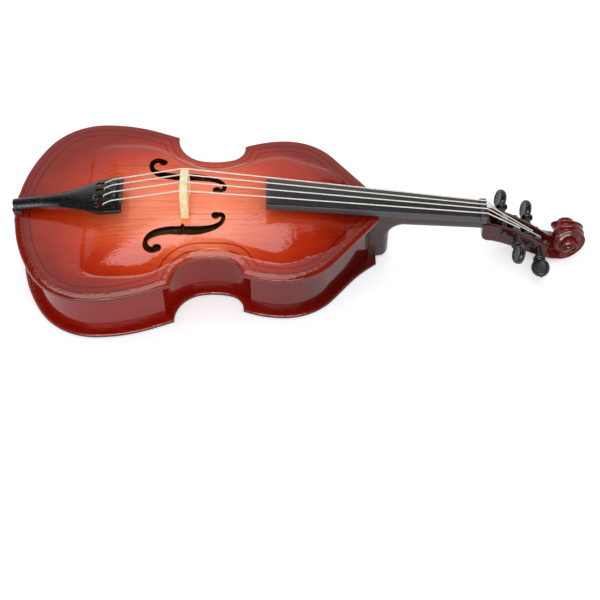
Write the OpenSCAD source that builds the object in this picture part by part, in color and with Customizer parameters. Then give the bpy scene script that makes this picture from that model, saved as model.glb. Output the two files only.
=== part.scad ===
// Miniature bowed instrument of the violin family, with sloping shoulders, lying on its back.
// Units are millimetres. +X runs from the tail to the scroll, +Y to the bass side, +Z out of the
// belly. The origin is on the resting plane, under the middle of the whole instrument.

/* [Body] */
// Length of the sound box
body_length = 126; // [122:1:130]
// Width of the body at its lower bout
lower_bout_width = 79.4; // [76:0.2:82]
// Width of the body at its waist
waist_width = 43.2; // [41:0.2:46]
// Width of the body at its upper bout
upper_bout_width = 63.4; // [61:0.2:66]
// Height of the rib walls between the two plates
rib_height = 18.5; // [16:0.5:22]
// Thickness of the rib walls
rib_thickness = 1.2; // [0.8:0.1:1.6]
// Thickness of the belly and of the back
plate_thickness = 2; // [1.6:0.1:2.4]
// How far the plates stand out past the ribs
plate_overhang = 2.8; // [2:0.1:3.2]
// How far the belly rises above its own rim
arch_rise = 3; // [2:0.1:3.6]

/* [Neck and fingerboard] */
// Distance from the tail of the body to the nut
nut_distance = 161.5; // [158:0.5:165]
// Distance from the tail of the body to the free end of the fingerboard
board_start = 87.2; // [84:0.2:92]
// Width of the fingerboard over the body
board_width_body = 12; // [11:0.2:13]
// Width of the fingerboard at the nut
board_width_nut = 8; // [7.6:0.2:8.6]
// Thickness of the fingerboard along its edges
board_edge = 3; // [2.4:0.1:3.4]

/* [Head] */
// Radius of the turned peg shafts
peg_radius = 1.25; // [1.1:0.05:1.4]
// Radial gap between a peg and its bore
peg_clearance = 0.05; // [0.03:0.01:0.1]
// Outside radius of the scroll
scroll_radius = 7.5; // [7.2:0.1:7.8]
// Turns of the scroll
scroll_turns = 2.25; // [1.75:0.25:2.5]

/* [Strings] */
// Radius of each string
string_radius = 0.22; // [0.18:0.01:0.26]
// Distance between neighbouring strings at the bridge
bridge_spacing = 3.3; // [3:0.1:3.6]
// Distance between neighbouring strings at the nut
nut_spacing = 1.9; // [1.7:0.1:2.1]

/* [Hidden] */
$fn = 48;

varnish = "#8e1f14";
rib_varnish = "#6e1212";
head_varnish = "#6a1414";
raw_wood = "#c9a273";
ebony = "#1b1b1e";
maple = "#f3e2ac";
steel = "#d9d7d4";

// Heights of the body's layers above the resting plane
back_top = plate_thickness;
rim_under = back_top + rib_height;
rim_top = rim_under + plate_thickness;

// The scroll's edge winds in from the underside of the head, in even steps, to its round eye
turn = 16;
volute_last = scroll_turns * turn;
eye_radius = 1.5;

// The instrument reaches from the end button to the scroll, and is centred between the two
tail_reach = -1.6;
scroll_centre = [193.7, scroll_radius + 0.3];
head_reach = scroll_centre.x + volute_radius(turn / 4);
middle_x = (tail_reach + head_reach) / 2;

module placed() translate([-middle_x, 0, 0]) children();

// A solid through rows of points, with a flat end on each
module skin(rings) {
    sides = len(rings[0]);
    last = len(rings) - 1;
    polyhedron([for (ring = rings) each ring], concat(
        [for (i = [0:last - 1], k = [0:sides - 1], half_cell = [0:1])
            let (p = i * sides + k, q = i * sides + (k + 1) % sides)
            half_cell == 0 ? [p, q, q + sides] : [p, q + sides, p + sides]],
        [[for (k = [sides - 1:-1:0]) k], [for (k = [0:sides - 1]) last * sides + k]]));
}

// ---------------------------------------------------------------- shared curves

function arc(centre, radius, from, to, steps) =
    [for (i = [0:steps]) let (a = from + (to - from) * i / steps)
        centre + radius * [cos(a), sin(a)]];

function reversed(list) = [for (i = [len(list) - 1:-1:0]) list[i]];

function part_of(list, first, last) = [for (i = [first:last]) list[i]];

function across(points) = [for (p = points) [p.x, -p.y]];

function bezier(a, b, c, d, steps) =
    [for (i = [0:steps]) let (t = i / steps, s = 1 - t)
        s * s * s * a + 3 * s * s * t * b + 3 * s * t * t * c + t * t * t * d];

// Smooth curve through a row of points, each with any number of coordinates
function through(points, steps) =
    let (last = len(points) - 1)
    [for (i = [0:last - 1], j = [0:i == last - 1 ? steps : steps - 1])
        let (t = j / steps, b = points[i], c = points[i + 1],
            a = points[max(i - 1, 0)], d = points[min(i + 2, last)])
        0.5 * (2 * b + (c - a) * t + (2 * a - 5 * b + 4 * c - d) * t * t
            + (3 * b - a - 3 * c + d) * t * t * t)];

// ---------------------------------------------------------------- body outline
// Half of the outline as arcs, at any inset from the plates' edge. Round stretches shrink with
// the inset and hollow ones grow, so ribs, linings and plates all run parallel.

lower_x = 28.5;
waist_x = 68.5;
upper_x = 93.5;
flat_tail = 5;

side_radius = 23.8;
side_centre = [lower_x, lower_bout_width / 2 - side_radius];
tail_radius = (norm(side_centre) ^ 2 - side_radius ^ 2) / (2 * (lower_x - side_radius));
tail_centre = [tail_radius, 0];
tail_turn = atan2(side_centre.y, lower_x - tail_radius);
flank_radius = 55.5;
flank_centre = [lower_x, lower_bout_width / 2 - flank_radius];
flank_turn = 69.4;

waist_radius = 24;
waist_centre = [waist_x, waist_width / 2 + waist_radius];
waist_tail_radius = 11;
waist_neck_radius = 6;
waist_tail_centre = [waist_x - 2.2,
    waist_centre.y - sqrt((waist_radius - waist_tail_radius) ^ 2 - 2.2 ^ 2)];
waist_neck_centre = [waist_x + 4.7,
    waist_centre.y - sqrt((waist_radius - waist_neck_radius) ^ 2 - 4.7 ^ 2)];
waist_tail_turn = 360 + atan2(waist_tail_centre.y - waist_centre.y, -2.2);
waist_neck_turn = 360 + atan2(waist_neck_centre.y - waist_centre.y, 4.7);

crown_radius = 38;
crown_centre = [upper_x, upper_bout_width / 2 - crown_radius];
shoulder_radius = 22.5;
shoulder_centre = [upper_x, upper_bout_width / 2 - shoulder_radius];
shoulder_turn = 39.8;

function lower_corner(d) =
    let (x = waist_tail_centre.x - waist_tail_radius - d,
        p = flank_centre + (flank_radius - d) * [cos(flank_turn), sin(flank_turn)])
    [x, p.y - (x - p.x) / tan(flank_turn)];

function upper_corner(d) =
    let (x = waist_neck_centre.x + waist_neck_radius + d)
    [x, crown_centre.y + sqrt((crown_radius - d) ^ 2 - (upper_x - x) ^ 2)];

function lower_bout(d) = concat(
    [[d, 0], [d, flat_tail]],
    arc(tail_centre, tail_radius - d, 172, tail_turn, 5),
    part_of(arc(side_centre, side_radius - d, tail_turn, 90, 7), 1, 7),
    part_of(arc(flank_centre, flank_radius - d, 90, flank_turn, 4), 1, 4),
    [lower_corner(d)]);

function waist(d) =
    let (tail = lower_corner(d), neck = upper_corner(d),
        start = 180 + max(3, 3 + asin((waist_tail_centre.y - tail.y) / (waist_tail_radius + d))),
        end = 360 + min(-2, asin((neck.y - waist_neck_centre.y) / (waist_neck_radius + d)) - 3))
    concat([tail],
        arc(waist_tail_centre, waist_tail_radius + d, start, waist_tail_turn, 6),
        part_of(arc(waist_centre, waist_radius + d, waist_tail_turn, waist_neck_turn, 4), 1, 4),
        part_of(arc(waist_neck_centre, waist_neck_radius + d, waist_neck_turn, end, 5), 1, 5),
        [neck]);

function upper_bout(d, end_x) =
    let (neck = upper_corner(d),
        start = atan2(neck.y - crown_centre.y, neck.x - upper_x),
        p = shoulder_centre + (shoulder_radius - d) * [cos(shoulder_turn), sin(shoulder_turn)],
        end_y = p.y - (end_x - p.x) / tan(shoulder_turn))
    concat(
        part_of(arc(crown_centre, crown_radius - d, start, 90, 3), 0, 2),
        arc(shoulder_centre, shoulder_radius - d, 90, shoulder_turn, 6),
        [[end_x, end_y]]);

function half_outline(d, end_x) =
    let (middle = waist(d))
    concat(lower_bout(d), part_of(middle, 1, len(middle) - 2), upper_bout(d, end_x));

function full_outline(d, end_x) =
    let (half = half_outline(d, end_x))
    concat(half, across(reversed(part_of(half, 1, len(half) - 1))));

// ---------------------------------------------------------------- plates

// The belly is pressed: a dome ends at a crease, and the border outside it is flat. The crease
// has two ends across the belly and, between them, this half width at places along it.
dome_middle = 70;
dome_half = 45;
crease = through([[25, 29.5], [45, 29], [57, 22.5], [68, 17.5], [80, 21], [92, 24], [104, 20],
    [115, 14]], 4);

// Height of the belly's top above its rim
function rise(p) =
    let (along = (p.x - dome_middle) / dome_half, across = p.y / lookup(p.x, crease),
        out = (along ^ 12 + across ^ 6) ^ (1 / 3))
    arch_rise * max(0, 1 - out);

// Across the belly, stations stand at the edge, on the crease and evenly between
plate_columns = 8;

function columns(x, edge) =
    let (fold = min(lookup(x, crease), edge - 1.5))
    concat([-edge],
        [for (i = [0:plate_columns]) (2 * i / plate_columns - 1) * fold], [edge]);

module arched_plate() {
    half = half_outline(0, body_length);
    stations = part_of(half, 1, len(half) - 1);
    per_row = plate_columns + 3;
    rows = len(stations);
    crossings = [for (s = stations, y = columns(s.x, s.y)) [s.x, y, rise([s.x, y])]];
    uppers = [for (c = crossings) [c.x, c.y, rim_top + c.z]];
    lowers = [for (c = crossings) [c.x, c.y, rim_under + c.z]];
    count = rows * per_row;
    skin = [for (r = [0:rows - 2], k = [0:per_row - 2], half_cell = [0:1])
        let (a = r * per_row + k, b = a + per_row)
        half_cell == 0 ? [a, a + 1, b + 1] : [a, b + 1, b]];
    border = concat(
        [for (k = [0:per_row - 1]) k],
        [for (r = [1:rows - 1]) r * per_row + per_row - 1],
        [for (k = [per_row - 2:-1:0]) (rows - 1) * per_row + k],
        [for (r = [rows - 2:-1:1]) r * per_row]);
    wall = [for (i = [0:len(border) - 1], half_cell = [0:1])
        let (a = border[i], b = border[(i + 1) % len(border)])
        half_cell == 0 ? [a, b + count, b] : [a, a + count, b + count]];
    polyhedron(concat(uppers, lowers),
        concat(skin, [for (f = skin) [f[2] + count, f[1] + count, f[0] + count]], wall));
}

// Centre line of a sound hole, each point with its distance from the middle and half its width
sound_hole_line = [[50.2, 19.7, 1.1], [48.6, 20.2, 1.15], [46.9, 19.1, 1.05], [46.4, 17.1, 0.75],
    [47.1, 15.2, 0.95], [48.8, 13.7, 1.35], [51.2, 12.7, 1.5], [54.6, 12.1, 1.65], [59.1, 12.1, 1.8],
    [63.6, 11.9, 1.7], [67.4, 11.2, 1.35], [70, 10.2, 1.05], [71.7, 8.9, 0.8], [72.5, 7.3, 0.7],
    [72.2, 5.8, 0.85], [70.9, 5.2, 1]];

module sound_hole() {
    line = through(sound_hole_line, 2);
    last = len(line) - 1;
    sides = [for (i = [0:last])
        let (a = line[max(i - 1, 0)], b = line[min(i + 1, last)], run = [b.x - a.x, b.y - a.y],
            normal = [-run.y, run.x] / norm(run), p = [line[i].x, line[i].y])
        [p + normal * line[i].z, p - normal * line[i].z]];
    polygon(concat([for (s = sides) s[0]], reversed([for (s = sides) s[1]])));
    translate([50.4, 19.25]) circle(1.5);
    translate([69.9, 5.7]) circle(1.45);
    for (side = [-1, 1])
        translate([59.1 + side * 0.4, 12.1]) polygon([[-0.8, side * 1.6], [0.8, side * 1.6], [0, side * 3.1]]);
}

saddle_length = 2.6;
saddle_width = 8;
saddle_lip = 0.3;
saddle_round = 0.8;
saddle_seat = rim_under + 0.8;

module belly() placed() color(varnish)
    difference() {
        arched_plate();
        for (side = [0, 1])
            mirror([0, side, 0])
                translate([0, 0, rim_under - 2])
                    linear_extrude(10) sound_hole();
        translate([-1, -saddle_width / 2, saddle_seat])
            cube([saddle_length + 1, saddle_width, 5]);
    }

edge_break = 0.4;

module back() placed() color(varnish) {
    translate([0, 0, edge_break])
        linear_extrude(plate_thickness - 2 * edge_break) polygon(full_outline(0, body_length));
    linear_extrude(plate_thickness)
        polygon(full_outline(edge_break, body_length - edge_break));
}

// ---------------------------------------------------------------- ribs and inside

rib_end = body_length - plate_overhang;
rib_inside = plate_overhang + rib_thickness;
button_height = 8.75;
button_pin = 1.2;
button_neck = 1.35;
button_head = 2.1;

module wall_between(outer, inner, low, high)
    translate([0, 0, low]) linear_extrude(high - low) polygon(concat(outer, reversed(inner)));

module on_side(side) mirror([0, side == "treble" ? 1 : 0, 0]) children();

module lower_rib(side) placed() color(rib_varnish) on_side(side)
    difference() {
        wall_between(lower_bout(plate_overhang), lower_bout(rib_inside), back_top, rim_under);
        translate([0, 0, button_height]) rotate([0, 90, 0]) cylinder(r = button_pin + 0.05, h = 20);
    }

module waist_rib(side) placed() color(rib_varnish) on_side(side)
    wall_between(waist(plate_overhang), waist(rib_inside), back_top, rim_under);

module upper_rib(side) placed() color(rib_varnish) on_side(side)
    wall_between(upper_bout(plate_overhang, rib_end), upper_bout(rib_inside, rib_end),
        back_top, rim_under);

block_gap = 0.02;

module top_block() placed() color(raw_wood) {
    inner = upper_bout(rib_inside + block_gap, rib_end);
    shoulder = part_of(inner, len(inner) - 3, len(inner) - 1);
    translate([0, 0, back_top]) linear_extrude(rib_height)
        polygon(concat(shoulder, across(reversed(shoulder))));
}

module bottom_block() placed() color(raw_wood)
    translate([0, 0, back_top])
        difference() {
            linear_extrude(rib_height)
                intersection() {
                    polygon(full_outline(rib_inside + block_gap, rib_end));
                    translate([0, -9]) square([10.5, 18]);
                }
            translate([0, 0, button_height - back_top])
                rotate([0, 90, 0]) cylinder(r = button_pin + 0.02, h = 9);
        }

module lower_corner_block(side) placed() color(raw_wood) on_side(side) {
    bout = lower_bout(rib_inside + block_gap);
    hollow = waist(rib_inside + block_gap);
    translate([0, 0, back_top]) linear_extrude(rib_height)
        polygon(concat([bout[len(bout) - 2]], part_of(hollow, 0, 3)));
}

module upper_corner_block(side) placed() color(raw_wood) on_side(side) {
    hollow = waist(rib_inside + block_gap);
    last = len(hollow) - 1;
    bout = upper_bout(rib_inside + block_gap, rib_end);
    translate([0, 0, back_top]) linear_extrude(rib_height)
        polygon(concat(part_of(hollow, last - 3, last), part_of(bout, 1, 2)));
}

lining_thickness = 1.3;
lining_height = 2.2;

function trimmed(points, first, last) = part_of(points, first, len(points) - 1 - last);

module lining_ring(low) {
    outer = rib_inside + block_gap;
    inner = outer + lining_thickness;
    for (side = ["bass", "treble"])
        on_side(side) {
            wall_between(trimmed(lower_bout(outer), 3, 2), trimmed(lower_bout(inner), 3, 2),
                low, low + lining_height);
            wall_between(trimmed(waist(outer), 5, 5), trimmed(waist(inner), 5, 5),
                low, low + lining_height);
            wall_between(trimmed(upper_bout(outer, rib_end), 4, 4),
                trimmed(upper_bout(inner, rib_end), 4, 4), low, low + lining_height);
        }
}

module belly_linings() placed() color(raw_wood) lining_ring(rim_under - lining_height);

module back_linings() placed() color(raw_wood) lining_ring(back_top);

bar_y = 6.4;
bar_ends = [34, 96];
bar_depth = 2.6;
bar_width = 1.4;

bar_gap = 0.12;

// The bar's top is planed to the belly's arch
module bass_bar() placed() color(raw_wood) {
    steps = 10;
    side = bar_y + bar_width / 2;
    xs = [for (i = [0:steps]) bar_ends[0] + (bar_ends[1] - bar_ends[0]) * i / steps];
    glued = [for (x = xs) [x, rim_under + rise([x, side]) - bar_gap]];
    free = [for (i = [0:steps]) glued[i] - [0, 0.5 + bar_depth * sin(180 * i / steps)]];
    translate([0, side, 0]) rotate([90, 0, 0]) linear_extrude(bar_width)
        polygon(concat(glued, reversed(free)));
}

post_at = [55.5, -5.6];
post_radius = 1.1;

module sound_post() placed() color(raw_wood)
    translate([post_at.x, post_at.y, back_top])
        cylinder(r = post_radius, h = rib_height + rise(post_at) - 0.15);

// ---------------------------------------------------------------- fingerboard line
// The top edges of the fingerboard fall towards the nut along one straight line.

board_fall = 0.13;
board_edge_nut = 21.9;
board_round = 20.5;

function board_edge_z(x) = board_edge_nut + (nut_distance - x) * board_fall;
function board_under_z(x) = board_edge_z(x) - board_edge;

board_tilt = atan(board_fall);
board_run = (nut_distance - board_start) / cos(board_tilt);
crown_drop = board_round - sqrt(board_round ^ 2 - (board_width_nut / 2) ^ 2);

module board_blank()
    translate([nut_distance, 0, board_under_z(nut_distance)])
        rotate([0, board_tilt, 0])
            intersection() {
                linear_extrude(board_edge + 3)
                    polygon([[1, -board_width_nut / 2], [1, board_width_nut / 2],
                        [0, board_width_nut / 2],
                        [-board_run, board_width_body / 2], [-board_run, -board_width_body / 2],
                        [0, -board_width_nut / 2]]);
                translate([2, 0, board_edge + crown_drop - board_round])
                    rotate([0, -90, 0]) cylinder(r = board_round, h = board_run + 3, $fn = 96);
            }

// The end at the nut is cut upright
module fingerboard() placed() color(ebony)
    intersection() {
        board_blank();
        translate([board_start - 5, -board_width_body, 0])
            cube([nut_distance - board_start + 5, 2 * board_width_body, 50]);
    }

nut_length = 2.3;
nut_top = 23.1;
nut_round = 16;

// ---------------------------------------------------------------- neck with its head

shaft_tail = 122.6;
neck_half_tail = 4.5;
neck_half_nut = 3.95;
head_start = 163;
heel_face = 130.3;
heel_foot = 1.1;
heel_arc = 4.6;
cavity_half_nut = 3;
cavity_half_throat = 2.1;

function shaft_axis_z(x) = 20.2 - (x - 134) * 0.088;

cheek_top = bezier([head_start + 1, 18.1], [172.6, 16.2], [180.5, 10.8], [188.6, 3.6], 8);
head_under = bezier([scroll_centre.x, 0.3], [182.5, 0.2], [172.8, 8], [165.8, 9.3], 8);
cavity_floor = bezier([188.6, 3.2], [183.5, 0.4], [174, 8], [167.5, 10.6], 7);

// Outside of the pegbox along its length: the two lines of its side view, and its half-widths low
// down, where it flares towards the scroll, and along the top of the cheeks
pegbox_top = concat([[head_start - 0.4, 18.4]], cheek_top, [[191.4, 3.5], [scroll_centre.x, 3.6]]);
pegbox_under = concat([[head_start - 0.4, 13.2]], arc([165.6, 12.2], 3, 195, 262, 4), head_under);
pegbox_half_low = [[162, 4.9], [174, 4.9], [180, 5.4], [186, 6.1], [190, 6.2], [scroll_centre.x, 5.3]];
pegbox_half_top = [[162, 4.5], [176, 3.8], [scroll_centre.x, 3]];

// Side profiles lie in the X-Z plane and reach to both sides of the middle
module side_profile(points, half_width)
    translate([0, half_width, 0]) rotate([90, 0, 0]) linear_extrude(2 * half_width) polygon(points);

module plan_taper(x1, half1, x2, half2)
    linear_extrude(40) polygon([[x1, -half1], [x2, -half2], [x2, half2], [x1, half1]]);

// Everything over the heel's foot and under the glue face of the fingerboard
module below_board(low_tail, low_head)
    side_profile([[body_length, low_tail], [head_start, low_head],
        [head_start, board_under_z(head_start) - block_gap],
        [body_length, board_under_z(body_length) - block_gap]], 6);

// The grip is round underneath, with straight cheeks up to the fingerboard
module neck_shaft() {
    intersection() {
        translate([shaft_tail, 0, shaft_axis_z(shaft_tail)])
            rotate([0, 90 + atan(0.088), 0])
                cylinder(r1 = neck_half_tail, r2 = neck_half_nut, h = head_start + 3.5 - shaft_tail);
        below_board(0, 0);
    }
    intersection() {
        below_board(shaft_axis_z(body_length), shaft_axis_z(head_start));
        plan_taper(shaft_tail, neck_half_tail, head_start + 3, neck_half_nut);
    }
}

module heel()
    intersection() {
        side_profile(concat(
            [[rib_end + block_gap, back_top + block_gap], [body_length + block_gap, back_top + block_gap],
                [body_length + block_gap, heel_foot], [heel_face - 1, heel_foot],
                [heel_face, heel_foot + 1.2]],
            arc([heel_face + heel_arc, 11.2], heel_arc, 180, 90, 6),
            [[heel_face + heel_arc, shaft_axis_z(heel_face)],
                [body_length + block_gap, shaft_axis_z(body_length)],
                [body_length + block_gap, rim_under - block_gap],
                [rib_end + block_gap, rim_under - block_gap]]), 7);
        linear_extrude(40) {
            translate([body_length - 1, 0]) circle(5.2);
            translate([rib_end, -4.4]) square([4, 8.8]);
            translate([body_length, -4.4]) square([12, 8.8]);
        }
    }

function pegbox_section(x) =
    let (top = lookup(x, pegbox_top), low = lookup(x, pegbox_under),
        half_top = lookup(x, pegbox_half_top), half_low = lookup(x, pegbox_half_low),
        bevel = min(1.2, (top - low) / 3))
    [[x, -half_top, top], [x, half_top, top], [x, half_low, low + bevel],
        [x, half_low - bevel, low], [x, bevel - half_low, low], [x, -half_low, low + bevel]];

module pegbox()
    difference() {
        skin([for (x = [162.6, 162.9, 163.4, 164.2, 165.2, for (i = [1:14]) 165.2 + i * 2,
            scroll_centre.x]) pegbox_section(x)]);
        intersection() {
            side_profile(concat([[165.4, 12.4], [165.4, 30], [188.6, 30]], cavity_floor), 8);
            plan_taper(165, cavity_half_nut, 189, cavity_half_throat);
        }
    }

// The volute: its edge winds inwards while the wood gets wider towards the eye. Each turn is a
// ledge with a wall down to the ledge of the turn outside it, and the last one rings the eye.
volute_widths = [[0, 5.3], [0.12, 4], [0.25, 3.2], [0.5, 2.8], [0.75, 5], [1, 5.5], [1.5, 6.2],
    [scroll_turns, 6.9]];
crown_height = 0.82;

function volute_radius(i) =
    i >= volute_last ? eye_radius
        : eye_radius + (scroll_radius - eye_radius) * (1 - i / volute_last) ^ 1.3;

// The outer band is narrowest over the top, and the ledges widen from there to the eye
function volute_half(i) = lookup(i / turn, volute_widths);

function volute_point(i, half) =
    let (a = -90 + 360 * i / turn, r = volute_radius(i))
    [scroll_centre.x + r * cos(a), half,
        scroll_centre.y + r * sin(a) * (sin(a) > 0 ? crown_height : 1)];

module volute() {
    edges = volute_last + turn;
    feet = edges - turn;
    // Points: both edges, both rows of wall feet, the middle of the outer band, both hubs
    points = concat(
        [for (side = [1, -1], i = [0:edges - 1]) volute_point(i, side * volute_half(i))],
        [for (side = [1, -1], i = [turn:edges - 1]) volute_point(i, side * volute_half(i - turn))],
        [for (i = [0:turn]) volute_point(i, 0)],
        [for (side = [1, -1]) [scroll_centre.x, side * volute_half(volute_last), scroll_centre.y]]);
    middle = 2 * edges + 2 * feet;
    function edge(s, i) = s * edges + (i == edges ? volute_last : i);
    function foot(s, i) = i < turn ? middle + i : 2 * edges + s * feet + i - turn;
    function one_side(s) = concat(
        [for (i = [0:edges - 2]) if (i != turn - 1)
            each [[foot(s, i), foot(s, i + 1), edge(s, i + 1)], [foot(s, i), edge(s, i + 1), edge(s, i)]]],
        [[middle + turn - 1, middle + turn, edge(s, turn - 1)],
            [middle + turn, foot(s, turn), edge(s, turn - 1)],
            [foot(s, turn), edge(s, turn), edge(s, turn - 1)]],
        [for (i = [0:volute_last - 2]) let (j = i + turn)
            each [[edge(s, i), edge(s, i + 1), foot(s, j + 1)], [edge(s, i), foot(s, j + 1), foot(s, j)]]],
        [[edge(s, volute_last - 1), edge(s, volute_last), foot(s, edges - 1)],
            [foot(s, edges - 1), edge(s, volute_last), edge(s, edges - 1)]],
        [for (i = [volute_last:edges - 1]) [edge(s, i), edge(s, i + 1), middle + turn + 1 + s]],
        [[foot(s, turn), middle + turn, middle], [foot(s, turn), middle, edge(s, 0)]]);
    polyhedron(points, concat(one_side(0), [for (f = one_side(1)) reversed(f)]));
}

// ---------------------------------------------------------------- pegs
// Each row: place of the axis along the instrument, its height, and the side of its head

peg_axes = [[170.6, 13.5, 1], [180.5, 7.6, 1], [183.6, 5.2, -1], [175.2, 11.6, -1]];
// How far each peg stands out from where all four would be level
peg_out = [-0.7, -0.7, 0.7, -0.4];
peg_turns = [22, 18, 94, -24];
collar_at = 8.4;
head_at = 12.3;
head_radius = 3.2;
shaft_end = 5.4;
winding_at = [1.5, 0.5, 0.4, 1.5];

module peg_bores()
    for (p = peg_axes)
        translate([p.x, 0, p.y]) rotate([90, 0, 0])
            cylinder(r = peg_radius + peg_clearance, h = 16, center = true);

module neck() placed() color(head_varnish)
    difference() {
        union() {
            neck_shaft();
            heel();
            pegbox();
            volute();
        }
        peg_bores();
    }

// Rounded disc about the X axis, dished on both faces
module thumb_disc()
    rotate([0, 90, 0])
        rotate_extrude()
            polygon(concat([[0, -0.95], [1.5, -1.05]],
                arc([head_radius - 1.2, 0], 1.2, -80, 80, 8), [[1.5, 1.05], [0, 0.95]]));

module peg(i) {
    axis = peg_axes[i - 1];
    out = peg_out[i - 1];
    placed() color(ebony)
        translate([axis.x, 0, axis.y])
            rotate([-90 * axis.z, 0, 0])
                rotate([0, 0, peg_turns[i - 1]]) {
                    difference() {
                        translate([0, 0, -shaft_end]) cylinder(r = peg_radius, h = shaft_end + head_at + out);
                        translate([0, 0, winding_at[i - 1]]) rotate([0, 90, 0])
                            cylinder(r = 0.28, h = 4, center = true, $fn = 16);
                    }
                    translate([0, 0, collar_at + out]) rotate_extrude()
                        polygon(concat([[0, -0.75], [1.2, -0.75]], arc([1.55, 0], 0.7, -80, 80, 6),
                            [[1.2, 0.75], [0, 0.75]]));
                    translate([0, 0, head_at + out]) thumb_disc();
                    translate([0, 0, head_at + out + head_radius - 0.3])
                        cylinder(r1 = 1, r2 = 0.3, h = 0.9);
                }
}

// Three turns of string, wound on the shaft of each peg
module string_winding(i) {
    axis = peg_axes[i - 1];
    placed() color(steel)
        translate([axis.x, 0, axis.y])
            rotate([-90 * axis.z, 0, 0])
                translate([0, 0, winding_at[i - 1]])
                    rotate_extrude()
                        polygon(concat([[peg_radius, -3 * string_radius]],
                            [for (k = [-1:1], a = [-60:60:60])
                                [peg_radius + string_radius * (1 + cos(a)),
                                    2 * k * string_radius + string_radius * sin(a)]],
                            [[peg_radius, 3 * string_radius]]));
}

// ---------------------------------------------------------------- fittings

bridge_x = 59.4;
bridge_thickness = 2.6;
bridge_top = 37.6;
bridge_foot_half = 7.2;
bridge_top_half = 5.7;
bridge_round = 17;

function bridge_top_z(y) = bridge_top - bridge_round + sqrt(bridge_round ^ 2 - y ^ 2);

// Two feet under an arch, each trimmed to the belly
module bridge() placed() color(maple) {
    seat = rim_top + rise([bridge_x, 0]);
    difference() {
        translate([bridge_x + bridge_thickness / 2, 0, 0]) rotate([90, 0, -90])
            linear_extrude(bridge_thickness)
                difference() {
                    intersection() {
                        polygon([[-bridge_foot_half, seat - 1], [bridge_foot_half, seat - 1],
                            [bridge_foot_half, seat + 1.5], [bridge_top_half, bridge_top],
                            [-bridge_top_half, bridge_top], [-bridge_foot_half, seat + 1.5]]);
                        translate([0, bridge_top - bridge_round])
                            circle(bridge_round, $fn = 96);
                    }
                    translate([0, seat]) circle(3.4);
                }
        translate([0, 0, block_gap]) arched_plate();
    }
}

module nut() placed() color(ebony) {
    floor_z = board_under_z(nut_distance);
    difference() {
        translate([nut_distance + block_gap, 0, 0]) rotate([90, 0, 90])
            linear_extrude(nut_length)
                intersection() {
                    translate([-board_width_nut / 2 - 0.2, floor_z - 0.2])
                        square([board_width_nut + 0.4, 8]);
                    translate([0, nut_top - nut_round]) circle(nut_round, $fn = 96);
                }
        // The neck's glue face slopes under the nut
        translate([nut_distance - 5, -10, floor_z + 5 * board_fall - 4 + 0.02])
            rotate([0, board_tilt, 0]) cube([12, 20, 4 * cos(board_tilt)]);
        for (i = [1:4])
            translate([nut_distance - 1, string_y(i, nut_spacing), nut_z(i)])
                rotate([0, 90, 0]) cylinder(r = string_radius + 0.05, h = 8, $fn = 16);
    }
}

module saddle() placed() color(ebony)
    translate([-saddle_lip, 0, saddle_seat])
        rotate([90, 0, 0])
            translate([0, 0, -saddle_width / 2 + block_gap])
                linear_extrude(saddle_width - 2 * block_gap)
                    polygon(concat([[saddle_lip, 0], [saddle_length + saddle_lip - block_gap, 0],
                        [saddle_length + saddle_lip - block_gap, 1.2], [saddle_length - 0.2, 2.2]],
                        arc([saddle_round, 2.2 - saddle_round], saddle_round, 90, 180, 4)));

piece_tail = -0.5;
piece_head = 38;
ridge_x = 35.4;
ridge_top = 32.5;
ridge_width = 1.4;
ridge_round = 14;
slot_hole_x = 29.4;
piece_spacing = 2.6;

// Half of the tailpiece seen from above: a straight stem that flares to the string end
piece_half = concat([[piece_tail, 2], [piece_tail + 0.6, 2.5]],
    bezier([10, 2.6], [20, 2.9], [27, 5.9], [31, 6.2], 8), [[piece_head, 6.3]]);

function piece_under_z(x) = 24.1 + (x - piece_tail) * 0.136;
function piece_top_z(x) = 26.1 + (x - piece_tail) * 0.136;

module tailpiece() placed() color(ebony)
    difference() {
        union() {
            intersection() {
                linear_extrude(45) polygon(concat(piece_half, across(reversed(piece_half))));
                side_profile([[piece_tail - 1, piece_under_z(piece_tail - 1)],
                    [piece_head, piece_under_z(piece_head)],
                    [piece_head, piece_top_z(piece_head) - 0.5],
                    [piece_head - 1, piece_top_z(piece_head)],
                    [piece_tail + 0.5, piece_top_z(piece_tail)],
                    [piece_tail - 1, piece_top_z(piece_tail) - 1]], 8);
                translate([piece_tail - 2, 0, piece_top_z(piece_tail - 2) - 10.4])
                    rotate([0, 90 - atan(0.136), 0]) cylinder(r = 10.4, h = 50, $fn = 96);
            }
            // Ridge that the strings bend over
            translate([ridge_x - ridge_width / 2, 0, 0]) rotate([90, 0, 90])
                linear_extrude(ridge_width)
                    intersection() {
                        translate([-5.7, piece_under_z(ridge_x) + 0.6]) square([11.4, 8]);
                        translate([0, ridge_top - ridge_round]) circle(ridge_round, $fn = 96);
                    }
        }
        for (i = [1:4])
            translate([slot_hole_x, string_y(i, piece_spacing), 20]) {
                cylinder(r = 0.85, h = 20, $fn = 24);
                translate([0, -0.35, 0]) cube([3.2, 0.7, 20]);
            }
    }

module end_button() placed() color(ebony)
    translate([0, 0, button_height]) rotate([0, 90, 0])
        rotate_extrude()
            polygon([[0, tail_reach], [button_head - 0.5, tail_reach], [button_head, tail_reach + 0.5],
                [button_head, 0.2], [button_neck, 0.4], [button_neck, 1.6],
                [button_head - 0.2, 1.9], [button_head - 0.2, plate_overhang - block_gap],
                [button_pin, plate_overhang - block_gap], [button_pin, 8.5], [0, 8.5]]);

// ---------------------------------------------------------------- strings and tailgut

// Round cord along a row of points, with flat ends
function turned(v) = v / norm(v);

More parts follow.
